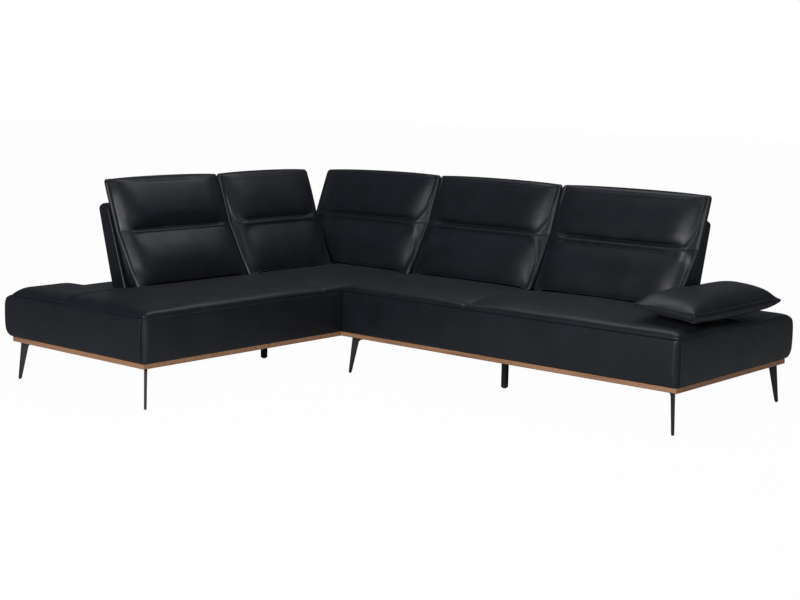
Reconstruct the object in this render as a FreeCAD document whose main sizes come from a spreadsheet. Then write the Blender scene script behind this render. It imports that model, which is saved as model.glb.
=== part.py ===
import FreeCAD, Part
import math
import os

import Sketcher

# Corner sofa on blade legs: two upholstered modules meet at the inner corner of an L.
# The left module holds the open end and the corner, the right module holds two seats and the
# armrest end. Five back units stand forward on the deep platform and slide back on guide rails,
# and a lens shaped armrest pad tilts up on a pair of ratchet hinges.
#
# Frame: millimetres, +Z up, floor at Z = 0, origin under the centre of the whole outline.
# Each wing has its own coordinates: "along" runs from left to right for somebody who faces
# the wing, "depth" runs from the front edge to the back. The right wing's along is +X and its
# depth is +Y. The left wing is turned by 90 degrees: its along is +Y and its depth is -X.
# Both start at the inner corner of the L.

doc = FreeCAD.newDocument("CornerSofa")

# Driving dimensions, in millimetres unless the name says otherwise

DIMENSIONS = [
    # outline
    ("right_wing_length", 1920),
    ("left_wing_length", 1258),
    ("wing_depth", 1035),
    ("rear_overhang", 58),
    # underframe
    ("leg_height", 184),
    ("trim_height", 22),
    ("trim_edge_chamfer", 4),
    ("rail_thickness", 28),
    ("rail_height", 146),
    ("dust_cover_thickness", 1.5),
    ("dust_cover_margin", 8),
    ("strap_width", 60),
    ("strap_thickness", 2.5),
    ("strap_pitch", 115),
    # upholstered borders
    ("border_thickness", 25),
    ("border_height", 204),
    ("rear_seam_drop", 10),
    ("rear_rounding", 54),
    ("corner_rounding", 10),
    # seats
    ("welt_height", 6),
    ("seat_depth", 500),
    ("seat_split", 774),
    ("left_seat_split", 132),
    ("front_roll_depth", 55),
    ("front_roll_rise", 38),
    ("crown_rise", 60),
    ("crown_depth", 280),
    ("crown_rear_fall", 13),
    ("crown_split_fall", 4),
    ("right_split_fall", 14),
    ("crown_end_fall", 31),
    ("crown_joint_fall", 9),
    ("roll_end_fall", 12),
    ("deck_slope_length", 90),
    ("deck_rise", 10),
    ("rear_roll_depth", 50),
    ("open_end_lift", 32),
    ("open_end_fade", 105),
    ("joint_seam_rise", 24),
    ("joint_roll_depth", 36),
    # legs and posts
    ("leg_inset", 28),
    ("inner_leg_inset", 52),
    ("leg_thickness", 11),
    ("leg_arm_length", 90),
    ("leg_arm_tip", 6),
    ("leg_blade_top", 33),
    ("leg_blade_foot", 15),
    ("leg_knee_drop", 22),
    ("leg_splay", 17),
    ("glide_height", 4),
    ("glide_radius", 6),
    ("post_side", 25),
    ("post_glide_radius", 10),
    ("left_post_depth", 530),
    ("left_post_along", 22),
    ("right_post_depth", 284),
    ("right_post_along", 815),
    ("leg_fork_rise", 7),
    ("leg_fork_run", 9),
    ("screw_hole_radius", 2.7),
    ("screw_first", 46),
    ("screw_second", 70),
    ("corner_block_side", 130),
    ("corner_block_height", 60),
    ("connector_length", 120),
    ("connector_width", 40),
    ("connector_thickness", 4),
    ("connector_hole_radius", 4),
    ("connector_hole_inset", 18),
    ("connector_inset", 180),
    # back units
    ("unit_gap", 3),
    ("corner_gap", 6),
    ("joint_shift", 9),
    ("left_back_width", 728),
    ("inner_back_flare", 32),
    ("corner_back_inset", 196),
    ("right_back_overlap", 8),
    ("right_back_tuck", 22),
    ("cushion_lift", 52.5),
    ("lower_lobe_height", 250.5),
    ("upper_lobe_height", 238),
    ("lower_lobe_lean", 136),
    ("upper_lobe_lean", 86),
    ("cushion_foot_thickness", 100),
    ("cushion_top_thickness", 60),
    ("cushion_bulge", 24),
    ("cushion_crown", 26),
    ("cushion_edge_roll", 85),
    ("cushion_side_draw", 9),
    ("panel_lift", 10),
    ("panel_gap", 22),
    ("panel_lean", 135),
    ("panel_top_drop", 113),
    ("panel_foot_thickness", 102),
    ("panel_top_thickness", 73),
    ("panel_side_inset", 3),
    ("panel_top_rounding", 24),
    ("panel_edge_rounding", 6),
    ("bracket_width", 40),
    ("bracket_thickness", 5),
    ("bracket_top_drop", 58),
    ("bracket_share", 22),
    # guide rails of the back units
    ("slide_end_gap", 5),
    ("guide_width", 34),
    ("guide_height", 14),
    ("guide_wall", 2.5),
    ("guide_slot", 14),
    ("guide_lead", 28),
    ("guide_end_play", 22),
    ("runner_length", 130),
    ("runner_play", 0.5),
    ("stem_width", 12),
    ("stem_depth", 40),
    # armrest
    ("armrest_width", 314),
    ("armrest_outer_inset", 2),
    ("armrest_front", 135),
    ("armrest_length", 770),
    ("armrest_lift", 98),
    ("armrest_boxing", 24),
    ("armrest_top_crown", 50),
    ("armrest_under_crown", 37),
    ("armrest_end_crown", 5),
    ("armrest_end_draw", 10),
    ("hinge_inset", 18),
    ("hinge_drop", 8),
    ("hinge_end_inset", 195),
    ("hinge_knuckle_radius", 8),
    ("hinge_pin_radius", 4),
    ("hinge_pin_play", 0.06),
    ("hinge_knuckle_length", 24),
    ("hinge_side_play", 0.5),
    ("hinge_ear_length", 10),
    ("hinge_plate_thickness", 4),
    ("hinge_foot_length", 50),
    ("hinge_arm_length", 150),
    ("hinge_arm_width", 46),
    ("hinge_arm_thickness", 3),
    ("hinge_arm_gap", 4),
    ("hinge_notch_gap", 2),
]

sheet = doc.addObject("Spreadsheet::Sheet", "Sizes")
for row, (alias, value) in enumerate(DIMENSIONS, start=1):
    sheet.set("A%d" % row, alias)
    sheet.set("B%d" % row, str(value))
    sheet.setAlias("B%d" % row, alias)
doc.recompute()


def size(alias):
    """The value of one driving dimension."""
    return float(sheet.get(alias))


def cell(alias):
    """The same dimension as a term of an expression."""
    return "Sizes." + alias


# Derived places, as expressions

CORNER_X = "(Sizes.wing_depth - Sizes.right_wing_length) / 2"
CORNER_Y = "(Sizes.left_wing_length - Sizes.wing_depth) / 2"
LEFT_END = "(-Sizes.left_wing_length)"
FRAME_DEPTH = "(Sizes.wing_depth - Sizes.rear_overhang)"
TRIM_TOP = "(Sizes.leg_height + Sizes.trim_height)"
COVER_BOTTOM = "(Sizes.leg_height - Sizes.dust_cover_thickness)"
RAIL_TOP = "(Sizes.leg_height + Sizes.rail_height)"
SEAM_TOP = "(Sizes.leg_height + Sizes.trim_height + Sizes.border_height)"
REAR_SEAM_TOP = "(%s - Sizes.rear_seam_drop)" % SEAM_TOP
HINGE_ALONG = (
    "(Sizes.right_wing_length - Sizes.armrest_outer_inset - Sizes.armrest_width"
    " + Sizes.hinge_inset)"
)
PANEL_BOTTOM = "(%s + Sizes.deck_rise + Sizes.panel_lift)" % SEAM_TOP
CUSHION_TOP = (
    "(%s + Sizes.cushion_lift + Sizes.lower_lobe_height + Sizes.upper_lobe_height)" % SEAM_TOP
)
PANEL_TOP = "(%s - Sizes.panel_top_drop)" % CUSHION_TOP
PANEL_FRONT = "(Sizes.seat_depth + Sizes.cushion_foot_thickness + Sizes.panel_gap)"
PANEL_FRONT_TOP = "(%s + Sizes.panel_lean)" % PANEL_FRONT

# The same places as numbers

corner_x = (size("wing_depth") - size("right_wing_length")) / 2
corner_y = (size("left_wing_length") - size("wing_depth")) / 2
frame_depth = size("wing_depth") - size("rear_overhang")
trim_top = size("leg_height") + size("trim_height")
cover_bottom = size("leg_height") - size("dust_cover_thickness")
rail_top = size("leg_height") + size("rail_height")
seat_base = rail_top + 2 * size("strap_thickness")
seam_top = trim_top + size("border_height")
rear_seam_top = seam_top - size("rear_seam_drop")
deck_top = seam_top + size("deck_rise")
deck_depth = size("seat_depth") + size("deck_slope_length")
cushion_bottom = seam_top + size("cushion_lift")
cushion_seam = cushion_bottom + size("lower_lobe_height")
cushion_top = cushion_seam + size("upper_lobe_height")
cushion_front_seam = size("seat_depth") + size("lower_lobe_lean")
cushion_front_top = cushion_front_seam + size("upper_lobe_lean")
cushion_rear_bottom = size("seat_depth") + size("cushion_foot_thickness")
cushion_rear_top = cushion_front_top + size("cushion_top_thickness")
panel_bottom = deck_top + size("panel_lift")
panel_top = cushion_top - size("panel_top_drop")
panel_front = cushion_rear_bottom + size("panel_gap")
panel_front_top = panel_front + size("panel_lean")
panel_rear_top = panel_front_top + size("panel_top_thickness")
guide_start = panel_front - size("guide_lead")
slide_travel = size("wing_depth") - size("slide_end_gap") - panel_rear_top
armrest_edge = size("right_wing_length") - size("armrest_outer_inset") - size("armrest_width")
armrest_middle = seam_top + size("armrest_lift")
armrest_rear = size("armrest_front") + size("armrest_length")
hinge_along = armrest_edge + size("hinge_inset")
hinge_height = armrest_middle - size("hinge_drop")
hinge_depths = (
    size("armrest_front") + size("hinge_end_inset"),
    armrest_rear - size("hinge_end_inset"),
)

WING_ANGLE = {"right": 0.0, "left": 90.0}
VERTICAL = FreeCAD.Vector(0, 0, 1)

parts = []


def finish(item, label):
    """Give a finished sub-part its name and note it for the export."""
    item.Label = label
    parts.append(item)
    return item


def wing_placement(wing, along=0.0, depth=0.0, height=0.0):
    """A placement at a point of a wing, with the wing's own axes."""
    turn = FreeCAD.Rotation(VERTICAL, WING_ANGLE[wing])
    corner = FreeCAD.Vector(corner_x, corner_y, 0)
    return FreeCAD.Placement(corner + turn.multVec(FreeCAD.Vector(along, depth, height)), turn)


def bind_wing_placement(item, wing, along="0", depth="0", height="0"):
    """Bind an object's placement to a point of a wing."""
    item.Placement = FreeCAD.Placement(
        FreeCAD.Vector(0, 0, 0), FreeCAD.Rotation(VERTICAL, WING_ANGLE[wing])
    )
    if wing == "right":
        item.setExpression("Placement.Base.x", "%s + (%s)" % (CORNER_X, along))
        item.setExpression("Placement.Base.y", "%s + (%s)" % (CORNER_Y, depth))
    else:
        item.setExpression("Placement.Base.x", "%s - (%s)" % (CORNER_X, depth))
        item.setExpression("Placement.Base.y", "%s + (%s)" % (CORNER_Y, along))
    item.setExpression("Placement.Base.z", height)


def wing_box(label, wing, along, depth, height):
    """A box in wing coordinates; each of the three is a pair of expressions, from and to."""
    box = doc.addObject("Part::Box", label)
    box.setExpression("Length", "(%s) - (%s)" % (along[1], along[0]))
    box.setExpression("Width", "(%s) - (%s)" % (depth[1], depth[0]))
    box.setExpression("Height", "(%s) - (%s)" % (height[1], height[0]))
    bind_wing_placement(box, wing, along[0], depth[0], height[0])
    return box


def add_polygon_sketch(body, name, role, corners, offset=None):
    """A closed sketch on an origin plane, each corner bound to a pair of expressions."""
    sketch = body.newObject("Sketcher::SketchObject", name)
    plane = [item for item in body.Origin.OriginFeatures if item.Role == role][0]
    sketch.AttachmentSupport = [(plane, "")]
    sketch.MapMode = "FlatFace"
    if offset is not None:
        sketch.setExpression("AttachmentOffset.Base.z", offset)
    count = len(corners)
    ring = []
    for index in range(count):
        turn = 2 * math.pi * index / count
        ring.append(FreeCAD.Vector(math.cos(turn), math.sin(turn), 0))
    for index in range(count):
        line = Part.LineSegment(ring[index], ring[(index + 1) % count])
        sketch.addGeometry(line, False)
    for index in range(count):
        following = (index + 1) % count
        sketch.addConstraint(Sketcher.Constraint("Coincident", index, 2, following, 1))
    for index, (across, up) in enumerate(corners):
        for kind, start, expression in (
            ("DistanceX", ring[index].x, across),
            ("DistanceY", ring[index].y, up),
        ):
            number = sketch.addConstraint(Sketcher.Constraint(kind, -1, 1, index, 1, start))
            sketch.setExpression("Constraints[%d]" % number, expression)
    return sketch


def add_pad(body, sketch, name, length, symmetric=False):
    """Pad a sketch along its normal, or to both sides of its plane."""
    pad = body.newObject("PartDesign::Pad", name)
    pad.Profile = sketch
    pad.setExpression("Length", length)
    if symmetric:
        pad.SideType = "Symmetric"
    sketch.Visibility = False
    return pad


def add_pocket_through(body, sketch, name):
    """Cut a sketch right through the body, to both sides of its plane."""
    pocket = body.newObject("PartDesign::Pocket", name)
    pocket.Profile = sketch
    pocket.SideType = "Symmetric"
    pocket.Type = "ThroughAll"
    return pocket


def edges_at(feature, axis, place):
    """Names of the straight edges along one axis that pass through a place.

    The place gives two of the three coordinates, and None for the axis itself."""
    names = []
    for number, edge in enumerate(feature.Shape.Edges, start=1):
        if len(edge.Vertexes) != 2:
            continue
        first = edge.Vertexes[0].Point
        last = edge.Vertexes[1].Point
        run = last - first
        if run.Length < 1e-6 or abs(abs(run[axis]) - run.Length) > 1e-6:
            continue
        if all(value is None or abs(first[k] - value) < 1e-3 for k, value in enumerate(place)):
            names.append("Edge%d" % number)
    return names


def add_fillet(body, base, name, radius, edges):
    """Round a list of edges of the feature before."""
    fillet = body.newObject("PartDesign::Fillet", name)
    fillet.Base = (base, edges)
    fillet.setExpression("Radius", radius)
    return fillet


def new_body(label, wing, along="0", depth="0", height="0"):
    """An empty body whose own axes are those of a wing."""
    body = doc.addObject("PartDesign::Body", label)
    bind_wing_placement(body, wing, along, depth, height)
    return body


def wing_profile(label, wing, start, length, corners):
    """A body whose profile, depth against height, runs along a wing."""
    body = new_body(label, wing)
    sketch = add_polygon_sketch(body, label + "_profile", "YZ_Plane", corners, start)
    add_pad(body, sketch, label + "_pad", length)
    doc.recompute()
    return body


def loft(wires):
    """A solid through closed wires with the same number of edges."""
    solid = Part.makeLoft(wires, True, True)
    if solid.Volume < 0:
        solid.reverse()
    return solid


def arc(first, middle, last):
    """An arc through three points."""
    return Part.Arc(first, middle, last).toShape()


def line(first, last):
    """A straight edge."""
    return Part.LineSegment(first, last).toShape()


def spans(first, middle, last, count):
    """An arc through three points as a few straight edges, for large soft faces."""
    points = arc(first, middle, last).discretize(count + 1)
    return [line(one, other) for one, other in zip(points, points[1:])]


def add_feature(label, shape, placement=None):
    """A sub-part whose shape is worked out here from the driving dimensions."""
    feature = doc.addObject("Part::Feature", label)
    feature.Shape = shape
    if placement is not None:
        feature.Placement = placement
    return finish(feature, label)


# Oak trim: square strips under the front and end borders, mitred where two meet


def make_trim(label, wing, start, length, depth, mitre):
    """One trim strip. The mitre lists the corners of the triangle cut off in plan."""
    edge = cell("trim_edge_chamfer")
    bottom = cell("leg_height")
    corners = [
        ("%s + %s" % (depth[0], edge if depth[2] == "front" else "0"), bottom),
        (depth[1], bottom),
        (depth[1], TRIM_TOP),
        (depth[0], TRIM_TOP),
    ]
    if depth[2] == "front":
        corners.append((depth[0], "%s + %s" % (bottom, edge)))
    body = wing_profile(label, wing, start, length, corners)
    if mitre:
        sketch = add_polygon_sketch(body, label + "_mitre", "XY_Plane", mitre)
        add_pocket_through(body, sketch, label + "_mitre_cut")
    finish(body, label)


def make_trims():
    """The four visible strips: front and end of each module."""
    thick = cell("border_thickness")
    right = cell("right_wing_length")
    zero = "0"
    make_trim(
        "right_front_trim",
        "right",
        zero,
        right,
        (zero, thick, "front"),
        [
            (right, zero),
            ("%s + 1" % right, thick),
            ("%s - %s" % (right, thick), thick),
        ],
    )
    make_trim(
        "left_front_trim",
        "left",
        LEFT_END,
        "%s + %s" % (cell("left_wing_length"), FRAME_DEPTH),
        (zero, thick, "front"),
        [
            (LEFT_END, zero),
            ("%s - 1" % LEFT_END, thick),
            ("%s + %s" % (LEFT_END, thick), thick),
        ],
    )
    # The end strips cross the ends, so their depth runs from the mitre to the rear rail.
    make_trim(
        "right_end_trim",
        "right",
        "%s - %s" % (right, thick),
        thick,
        (zero, FRAME_DEPTH, "end"),
        [
            ("%s - %s - 1" % (right, thick), "-1"),
            ("%s + 1" % right, "-1"),
            (right, zero),
            ("%s - %s" % (right, thick), thick),
            ("%s - %s - 1" % (right, thick), thick),
        ],
    )
    make_trim(
        "left_end_trim",
        "left",
        LEFT_END,
        thick,
        (zero, FRAME_DEPTH, "end"),
        [
            ("%s - 1" % LEFT_END, "-1"),
            (LEFT_END, zero),
            ("%s + %s" % (LEFT_END, thick), thick),
            ("%s + %s + 1" % (LEFT_END, thick), thick),
            ("%s + %s + 1" % (LEFT_END, thick), "-1"),
        ],
    )


# Timber underframe: rails on edge inside the trim and the borders


def make_rails():
    """The long rails, the end rails and the cross rails of both modules."""
    thick = cell("rail_thickness")
    border = cell("border_thickness")
    depth = FRAME_DEPTH
    right = cell("right_wing_length")
    height = (cell("leg_height"), RAIL_TOP)
    front = (border, "%s + %s" % (border, thick))
    rear = ("%s - %s" % (depth, thick), depth)
    between = (front[1], rear[0])
    left_start = "%s + %s" % (LEFT_END, border)
    right_end = "%s - %s" % (right, border)

    def rail(label, wing, along, across):
        finish(wing_box(label, wing, along, across, height), label)

    def cross(label, wing, centre):
        sides = ("%s - %s / 2" % (centre, thick), "%s + %s / 2" % (centre, thick))
        rail(label, wing, sides, between)

    rail("left_front_rail", "left", (left_start, depth), front)
    rail("left_rear_rail", "left", (left_start, depth), rear)
    rail("left_end_rail", "left", (left_start, "%s + %s" % (left_start, thick)), between)
    rail("corner_rear_rail", "left", rear, between)
    cross("left_cross_rail", "left", "-" + cell("left_post_along"))
    rail("right_front_rail", "right", ("0", right_end), front)
    rail("right_rear_rail", "right", ("0", right_end), rear)
    rail("right_joint_rail", "right", ("0", thick), between)
    rail("right_end_rail", "right", ("%s - %s" % (right_end, thick), right_end), between)
    cross("right_cross_rail", "right", cell("right_post_along"))
    cross("armrest_cross_rail", "right", HINGE_ALONG)


def make_dust_covers():
    """A thin cloth sheet closes each module from below."""
    margin = "%s + %s" % (cell("border_thickness"), cell("dust_cover_margin"))
    rear = "%s - %s" % (FRAME_DEPTH, cell("dust_cover_margin"))
    height = (COVER_BOTTOM, cell("leg_height"))
    finish(
        wing_box(
            "left_dust_cover",
            "left",
            ("%s + %s" % (LEFT_END, margin), rear),
            (margin, rear),
            height,
        ),
        "left_dust_cover",
    )
    finish(
        wing_box(
            "right_dust_cover",
            "right",
            (cell("dust_cover_margin"), "%s - (%s)" % (cell("right_wing_length"), margin)),
            (margin, rear),
            height,
        ),
        "right_dust_cover",
    )


def strap_places(first, last, blocked):
    """Even strap centres between two places, leaving out those over a blocked place."""
    reach = size("strap_width") / 2
    count = int((last - first - 2 * reach) // size("strap_pitch"))
    step = (last - first - 2 * reach) / count
    places = [first + reach + step * index for index in range(count + 1)]
    clear = reach + size("hinge_foot_length")
    return [place for place in places if all(abs(place - stop) > clear for stop in blocked)]


def make_webbing():
    """Elastic straps over the rails: short ones from front to rear, long ones on top."""
    border = size("border_thickness")
    width = size("strap_width")
    thick = size("strap_thickness")
    depth_first = border
    depth_last = frame_depth
    straps = []
    modules = (
        ("left", border - size("left_wing_length"), depth_last, []),
        ("right", 0.0, size("right_wing_length") - border, [hinge_along]),
    )
    for wing, first, last, blocked in modules:
        for centre in strap_places(first, last, blocked):
            strap = Part.makeBox(width, depth_last - depth_first, thick)
            strap.translate(FreeCAD.Vector(centre - width / 2, depth_first, rail_top))
            strap.Placement = wing_placement(wing).multiply(strap.Placement)
            straps.append(strap)
        long_end = min([last] + [stop - size("hinge_foot_length") for stop in blocked])
        for share in (1, 2, 3):
            centre = depth_first + (depth_last - depth_first) * share / 4
            strap = Part.makeBox(long_end - first, width, thick)
            lift = rail_top + thick
            strap.translate(FreeCAD.Vector(first, centre - width / 2, lift))
            strap.Placement = wing_placement(wing).multiply(strap.Placement)
            straps.append(strap)
    add_feature("seat_webbing", Part.makeCompound(straps))


# Upholstered borders: padded leather skirts, square at the front, rounded under at the rear


def make_front_border(label, wing, along, corner):
    """A flat padded border with its outer vertical edge rounded."""
    body = new_body(label, wing)
    thick = cell("border_thickness")
    corners = [(along[0], "0"), (along[1], "0"), (along[1], thick), (along[0], thick)]
    sketch = add_polygon_sketch(body, label + "_outline", "XY_Plane", corners, TRIM_TOP)
    pad = add_pad(body, sketch, label + "_pad", "%s - %s" % (SEAM_TOP, TRIM_TOP))
    doc.recompute()
    edges = edges_at(pad, 2, (corner, 0.0, None))
    add_fillet(body, pad, label + "_corner", cell("corner_rounding"), edges)
    finish(body, label)


def make_end_border(label, wing, start):
    """The border of an open end: its rear edge shows the rounded-under outline."""
    border = cell("border_thickness")
    depth = cell("wing_depth")
    corners = [
        (border, TRIM_TOP),
        (depth, TRIM_TOP),
        (depth, REAR_SEAM_TOP),
        (border, SEAM_TOP),
    ]
    body = wing_profile(label, wing, start, border, corners)
    edges = edges_at(body.Tip, 0, (None, size("wing_depth"), trim_top))
    add_fillet(body, body.Tip, label + "_rounding", cell("rear_rounding"), edges)
    finish(body, label)


def make_rear_border(label, wing, start, length, mitre):
    """A padded rear border, rounded under towards the legs."""
    corners = [
        (FRAME_DEPTH, TRIM_TOP),
        (cell("wing_depth"), TRIM_TOP),
        (cell("wing_depth"), REAR_SEAM_TOP),
        (FRAME_DEPTH, REAR_SEAM_TOP),
    ]
    body = wing_profile(label, wing, start, length, corners)
    edges = edges_at(body.Tip, 0, (None, size("wing_depth"), trim_top))
    add_fillet(body, body.Tip, label + "_rounding", cell("rear_rounding"), edges)
    if mitre:
        sketch = add_polygon_sketch(body, label + "_mitre", "XY_Plane", mitre)
        add_pocket_through(body, sketch, label + "_mitre_cut")
    finish(body, label)


def make_borders():
    """All seven borders of the two modules."""
    border = cell("border_thickness")
    depth = cell("wing_depth")
    right = cell("right_wing_length")
    make_front_border("right_front_border", "right", ("0", right), size("right_wing_length"))
    make_front_border(
        "left_front_border", "left", (LEFT_END, FRAME_DEPTH), -size("left_wing_length")
    )
    make_end_border("right_end_border", "right", "%s - %s" % (right, border))
    make_end_border("left_end_border", "left", LEFT_END)
    make_rear_border("right_rear_border", "right", "0", "%s - %s" % (right, border), None)
    past = "%s + 1" % depth
    inside = "%s - 1" % FRAME_DEPTH
    make_rear_border(
        "left_rear_border",
        "left",
        "%s + %s" % (LEFT_END, border),
        "%s - %s + %s" % (cell("left_wing_length"), border, depth),
        [(inside, inside), (past, inside), (past, past)],
    )
    make_rear_border(
        "corner_rear_border",
        "right",
        "-" + depth,
        depth,
        [("-(%s)" % inside, inside), ("-(%s)" % past, past), ("-(%s)" % past, inside)],
    )


# Seats: crowned foam pads that roll over the front border and run on behind the backs


# A roll's arc passes through this share of its depth at this share of its rise
ROLL_REACH = 0.24
ROLL_SHARE = 0.72


class SeatStation:
    """Where a seat is cut across, and the heights that the cut passes through.

    crown is the top of the crown, roll the end of the front roll, seam the front welt,
    deck the flat part behind the backs and rear the rear welt."""

    def __init__(self, along, crown, roll, deck, seam, rear):
        self.along = along
        self.crown = crown
        self.roll = roll
        self.deck = deck
        self.seam = seam
        self.rear = rear

    def lowered(self, along, share):
        """The same cut nearer to an end, with everything closer to the welts."""
        return SeatStation(
            along,
            self.seam + (self.crown - self.seam) * share,
            self.seam + (self.roll - self.seam) * share,
            self.rear + (self.deck - self.rear) * share,
            self.seam,
            self.rear,
        )

    def section(self):
        """The closed cross section, depth against height."""

        def point(depth, height):
            return FreeCAD.Vector(self.along, depth, height)

        depth = size("wing_depth")
        roll_depth = size("front_roll_depth")
        roll_rise = self.roll - self.seam
        rear_rise = self.deck - self.rear
        fall = size("crown_rear_fall") / size("crown_rise")
        seat_rear = self.crown - (self.crown - self.seam) * fall
        base_front = point(0, seat_base)
        base_rear = point(depth, seat_base)
        front_welt = point(0, self.seam)
        roll_middle = point(roll_depth * ROLL_REACH, self.seam + roll_rise * ROLL_SHARE)
        roll_end = point(roll_depth, self.roll)
        crown_top = point(size("crown_depth"), self.crown)
        rear_point = point(size("seat_depth"), seat_rear)
        deck_front = point(deck_depth, self.deck)
        deck_rear = point(depth - size("rear_roll_depth"), self.deck)
        rear_middle = point(
            depth - size("rear_roll_depth") * ROLL_REACH, self.rear + rear_rise * ROLL_SHARE
        )
        rear_welt = point(depth, self.rear)
        edges = [
            line(base_front, base_rear),
            line(base_rear, rear_welt),
            arc(rear_welt, rear_middle, deck_rear),
            line(deck_rear, deck_front),
            line(deck_front, rear_point),
            arc(rear_point, crown_top, roll_end),
            arc(roll_end, roll_middle, front_welt),
            line(front_welt, base_front),
        ]
        return Part.Wire(edges)


# Each step of a rolled end: its share of the roll's depth, and of the full rise there
END_ROLL = ((0.0, 0.06), (0.1, 0.42), (0.3, 0.72), (0.6, 0.93), (1.0, 1.0))


def rolled_end(station, end, start_share=0.0):
    """Stations from a seat's end to its full section, on a rounded line.

    start_share keeps part of the rise at the very end, for a shallow roll."""
    stations = []
    for reach, rise in END_ROLL:
        along = end + (station.along - end) * reach
        stations.append(station.lowered(along, start_share + (1 - start_share) * rise))
    return stations


def seat_tool_box(along, depth, top):
    """A box from under the seats up to a border's top edge."""
    box = Part.makeBox(along[1] - along[0], depth[1] - depth[0], top)
    box.translate(FreeCAD.Vector(along[0], depth[0], 0))
    return box


def guide_tools(wing, low, high):
    """Grooves for the guide rails of every back unit that stands on this stretch."""
    tools = []
    for place_wing, along in guide_places():
        if place_wing != wing or not low < along < high:
            continue
        groove = Part.makeBox(size("guide_width"), guide_length(), deck_top)
        start = FreeCAD.Vector(
            along - size("guide_width") / 2,
            guide_start,
            deck_top - size("guide_height"),
        )
        groove.translate(start)
        tools.append(groove)
    return tools


# Along the open end: share of the way to the first back unit, of the crown's fall and of the
# deck's lift. The outermost full cut has the share of the lift that follows.
OPEN_END = ((0.4, 0.6, 1.0), (0.7, 0.4, 1.0), (0.85, 0.3, 0.6))
OPEN_END_EDGE_LIFT = 0.8

# The middle seat's edge at the joint starts at this share of its rise
JOINT_ROLL_START = 0.5

# Along the end seat: share of the way to the armrest, of the crown's fall and of the roll's fall
END_SEAT = ((0.4, 0.0, 0.0), (0.65, 0.08, 0.0), (0.85, 0.25, 0.0), (1.0, 0.5, 0.4))
UNDER_ARMREST_FALL = 0.75


def left_seat_stations(at):
    """The open end lifts the deck up to where the first back unit stands."""
    left = size("left_wing_length")
    lift = size("open_end_lift")
    split = -size("left_seat_split")
    reach = back_units()[0][2] + left
    end_fall = size("crown_joint_fall") + size("crown_split_fall")
    edge_lift = OPEN_END_EDGE_LIFT * lift
    full = at(size("front_roll_depth") - left, end_fall, size("roll_end_fall") / 2, edge_lift)
    stations = [full]
    for share, crown_share, lift_share in OPEN_END:
        stations.append(at(reach * share - left, end_fall * crown_share, 0, lift * lift_share))
    stations.append(at(reach - size("unit_gap") - left, end_fall / 4, 0, size("unit_gap")))
    last = at(reach + size("open_end_fade") - left, size("crown_split_fall") / 2)
    middle = at((last.along + split) / 2)
    cut = at(split, size("crown_split_fall"))
    return rolled_end(full, -left) + stations[1:] + [last, middle, cut]


def corner_seat_stations(at):
    """Beyond the joint, the front of the seat is its side along the right module."""
    split = -size("left_seat_split")
    seam = size("joint_seam_rise")
    flat = size("crown_rise") - size("deck_rise")
    drop = size("front_roll_rise") - size("deck_rise")
    joint = at(0, size("crown_joint_fall"), size("crown_split_fall"))
    turn = at(size("joint_roll_depth"), size("crown_joint_fall"), drop / 2, 0, seam)
    back = at(size("seat_depth"), size("crown_rear_fall"), drop / 2, 0, seam)
    deck = at(deck_depth, flat, drop, 0, -size("rear_seam_drop"))
    end = at(size("wing_depth") - size("rear_roll_depth"), flat, drop, 0, -size("rear_seam_drop"))
    first = at(split, size("crown_split_fall"))
    return [first, joint, turn, back, deck] + rolled_end(end, size("wing_depth"))[::-1]


def middle_seat_stations(at):
    """From the rounded edge at the joint to the split, where both seats dip to the seam."""
    split = size("seat_split")
    fall = size("crown_split_fall")
    dip = size("right_split_fall")
    start = at(size("joint_roll_depth"), size("crown_joint_fall"), fall)
    crowned = [at(split / 6, fall), at(split / 3, fall / 4), at(2 * split / 3)]
    dipped = [at(5 * split / 6, dip / 4), at(split, dip)]
    return rolled_end(start, 0.0, JOINT_ROLL_START) + crowned + dipped


def right_seat_stations(at):
    """From the split to the end below the armrest, where the crown falls away."""
    split = size("seat_split")
    right = size("right_wing_length")
    end_fall = size("crown_end_fall")
    roll_fall = size("roll_end_fall")
    dip = size("right_split_fall")
    outer_along = (armrest_edge + 2 * right) / 3
    outer = at(outer_along, UNDER_ARMREST_FALL * end_fall, UNDER_ARMREST_FALL * roll_fall)
    inner = at(right - size("front_roll_depth"), end_fall, roll_fall)
    run = armrest_edge - split
    stations = [at(split, dip), at(split + run / 6, dip / 4)]
    for share, crown_share, roll_share in END_SEAT:
        stations.append(at(split + share * run, crown_share * end_fall, roll_share * roll_fall))
    return stations + [outer] + rolled_end(inner, right)[::-1]


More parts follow.
